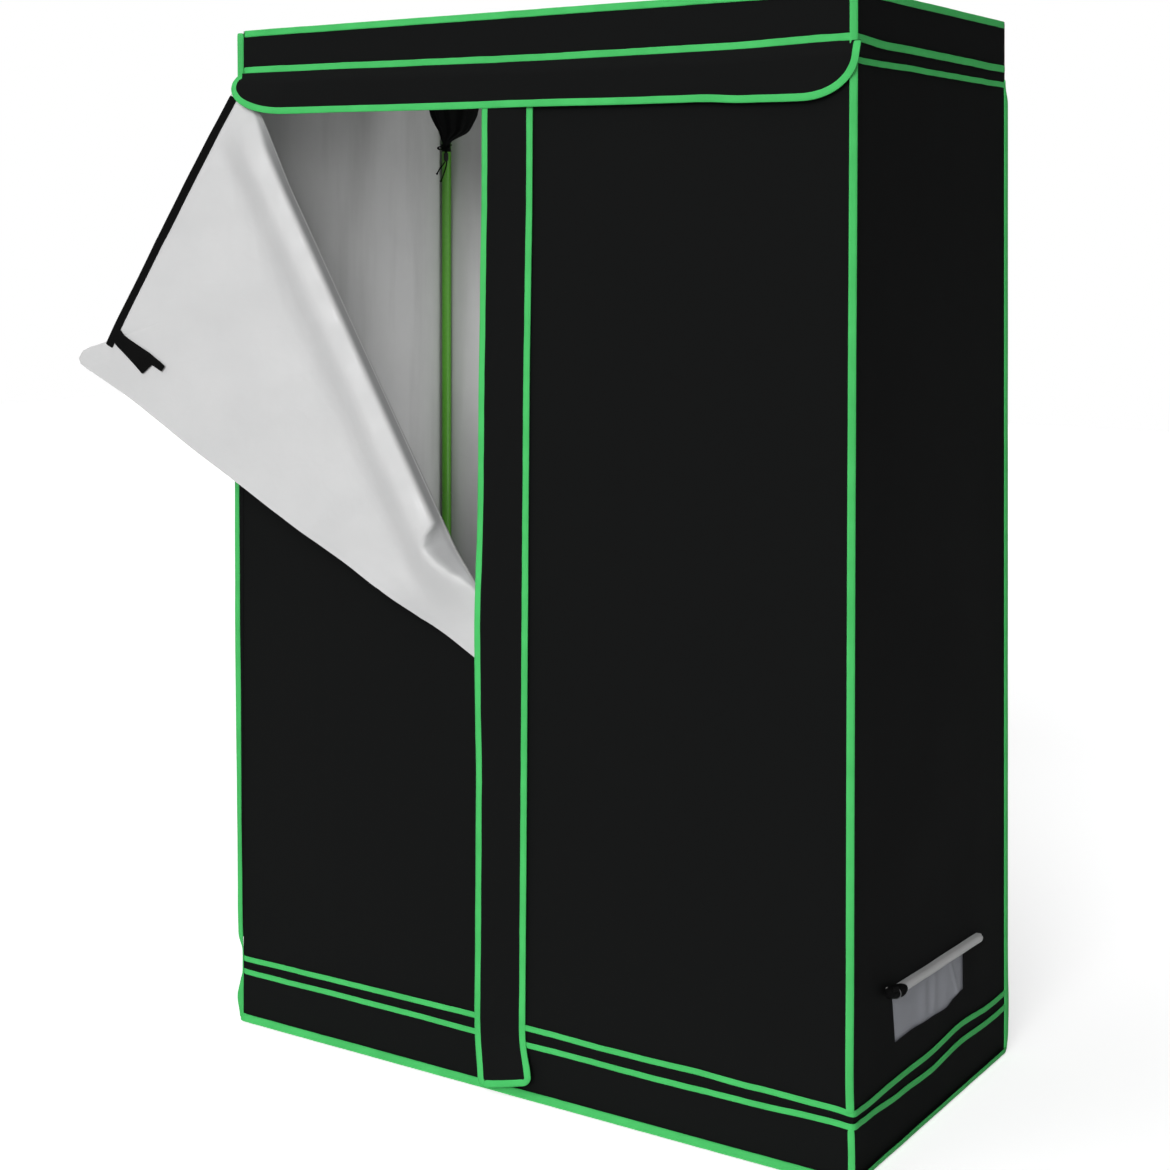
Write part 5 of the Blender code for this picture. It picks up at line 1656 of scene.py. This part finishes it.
def finish_solid(solid, material, worn):
    """Weld a CAD solid's loose triangles, and give it crisp edges, worn ones on a slider."""
    for place in solid.material_slots:
        place.material = material
    solid.modifiers.new("weld", "WELD").merge_threshold = 0.00002
    if worn:
        edge_round = solid.modifiers.new("worn edges", "BEVEL")
        edge_round.width = 0.0003
        edge_round.segments = 2
        edge_round.limit_method = "ANGLE"
    solid.modifiers.new("crisp edges", "EDGE_SPLIT").split_angle = math.radians(40)
    for face in solid.data.polygons:
        face.use_smooth = True


finished = 0
for name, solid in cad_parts.items():
    for prefix, material in solid_finish.items():
        if name.startswith(prefix):
            finish_solid(solid, material, name.endswith("slider"))
            finished += 1
print(finished, "solids finished")

# %% [markdown]
# ## Floor tray
# A loose tray of the same cloth covers the floor and catches spilt water. It starts as a cube
# without its lid. The upright corners are rounded, the sides are cut finer, and then they bow a
# little between the corners, as soft sides do.

# %% Tray
low, high = (Vector(corner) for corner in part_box("floor_tray"))
start_fresh()
bpy.ops.mesh.primitive_cube_add(size=1, location=(low + high) / 2)
tray = bpy.context.object
tray.name = tray.data.name = "floor_tray_cloth"
tray.scale = high - low
bpy.ops.object.transform_apply(location=True, scale=True)
bpy.ops.object.mode_set(mode="EDIT")
choose(tray, "FACE", lambda face: face.normal.z > 0.9)
bpy.ops.mesh.delete(type="FACE")
choose(tray, "EDGE", lambda edge: abs((edge.verts[0].co - edge.verts[1].co).normalized().z) > 0.9)
bpy.ops.mesh.bevel(offset=0.012, segments=4)
bpy.ops.mesh.select_all(action="SELECT")
bpy.ops.mesh.subdivide(number_cuts=7)
bpy.ops.object.mode_set(mode="OBJECT")
side_slack, near_side = 0.0008, 0.0005
for point in tray.data.vertices:
    up = (point.co.z - low.z) / (high.z - low.z)
    bow = 0.0022 * up * noise.noise(Vector((point.co.x * 9, point.co.y * 9, 4.4)))
    inwards = (side_slack + abs(bow)) * up
    if abs(point.co.x) > high.x - near_side:
        point.co.x -= math.copysign(inwards, point.co.x)
    if abs(point.co.y) > high.y - near_side:
        point.co.y -= math.copysign(inwards, point.co.y)
for material in (black_cloth, silver_cloth):
    tray.data.materials.append(material)
add_body(tray, 0.0012)
hand_over(tray, "tray", "black_cloth", "floor_tray")
print("tray", len(tray.data.polygons), "faces")

# %% [markdown]
# ## Floor, light and surroundings
# The tent stands on a plain white floor in soft studio light. A broad sun-like lamp from the
# front keeps the front bright and the right side in half shade, a weaker one fills in from the
# left, and an area lamp inside the tent lights its left wall and part of its back, as light
# through the open door would. The camera sees the world as white, but the world lights the cloth at a far
# lower level. The floor glows a little for the camera alone, so that it stays as pale.

# %% Floor
start_fresh()
bpy.ops.mesh.primitive_plane_add(size=24, location=(0, 0, -0.0008))
ground = bpy.context.object
ground.name = "studio_floor"
floor_white = bpy.data.materials.new("studio floor")
floor_white.use_nodes = True
tree = floor_white.node_tree
shader = tree.nodes["Principled BSDF"]
shader.inputs["Base Color"].default_value = (0.86, 0.86, 0.86, 1)
shader.inputs["Roughness"].default_value = 0.9
shader.inputs["Emission Color"].default_value = (1, 1, 1, 1)
seen = tree.nodes.new("ShaderNodeLightPath")
glow = maths(tree, "MULTIPLY", seen.outputs["Is Camera Ray"], 0.62)
tree.links.new(glow, shader.inputs["Emission Strength"])
ground.data.materials.append(floor_white)
print(ground.name)


# %% Lights
def lamp(name, kind, energy, tilt, turn, location=(0, 0, 0)):
    start_fresh()
    tilted = (math.radians(tilt), 0, math.radians(turn))
    bpy.ops.object.light_add(type=kind, location=location, rotation=tilted)
    made = bpy.context.object
    made.name = name
    made.data.energy = energy
    return made


lamp("front_light", "SUN", 2.4, 68, 15).data.angle = math.radians(35)
lamp("left_light", "SUN", 0.8, 40, -50).data.angle = math.radians(50)
inside = lamp("inside_light", "AREA", 0.78, 103, 76, (0.10, 0.06, 1.19))
inside.data.shape = "RECTANGLE"
inside.data.size, inside.data.size_y = 0.40, 1.15
inside.data.spread = math.radians(70)
inside.visible_camera = False
print("three lamps")

# %% World
world_strength = 0.12
world = bpy.context.scene.world or bpy.data.worlds.new("studio")
bpy.context.scene.world = world
world.use_nodes = True
tree = world.node_tree
background = tree.nodes["Background"]
background.inputs["Color"].default_value = (1, 1, 1, 1)
seen = tree.nodes.new("ShaderNodeLightPath")
bright = maths(tree, "MAXIMUM", seen.outputs["Is Camera Ray"], world_strength)
tree.links.new(bright, background.inputs["Strength"])
bpy.context.scene.view_settings.view_transform = "Standard"
print("a pale world")
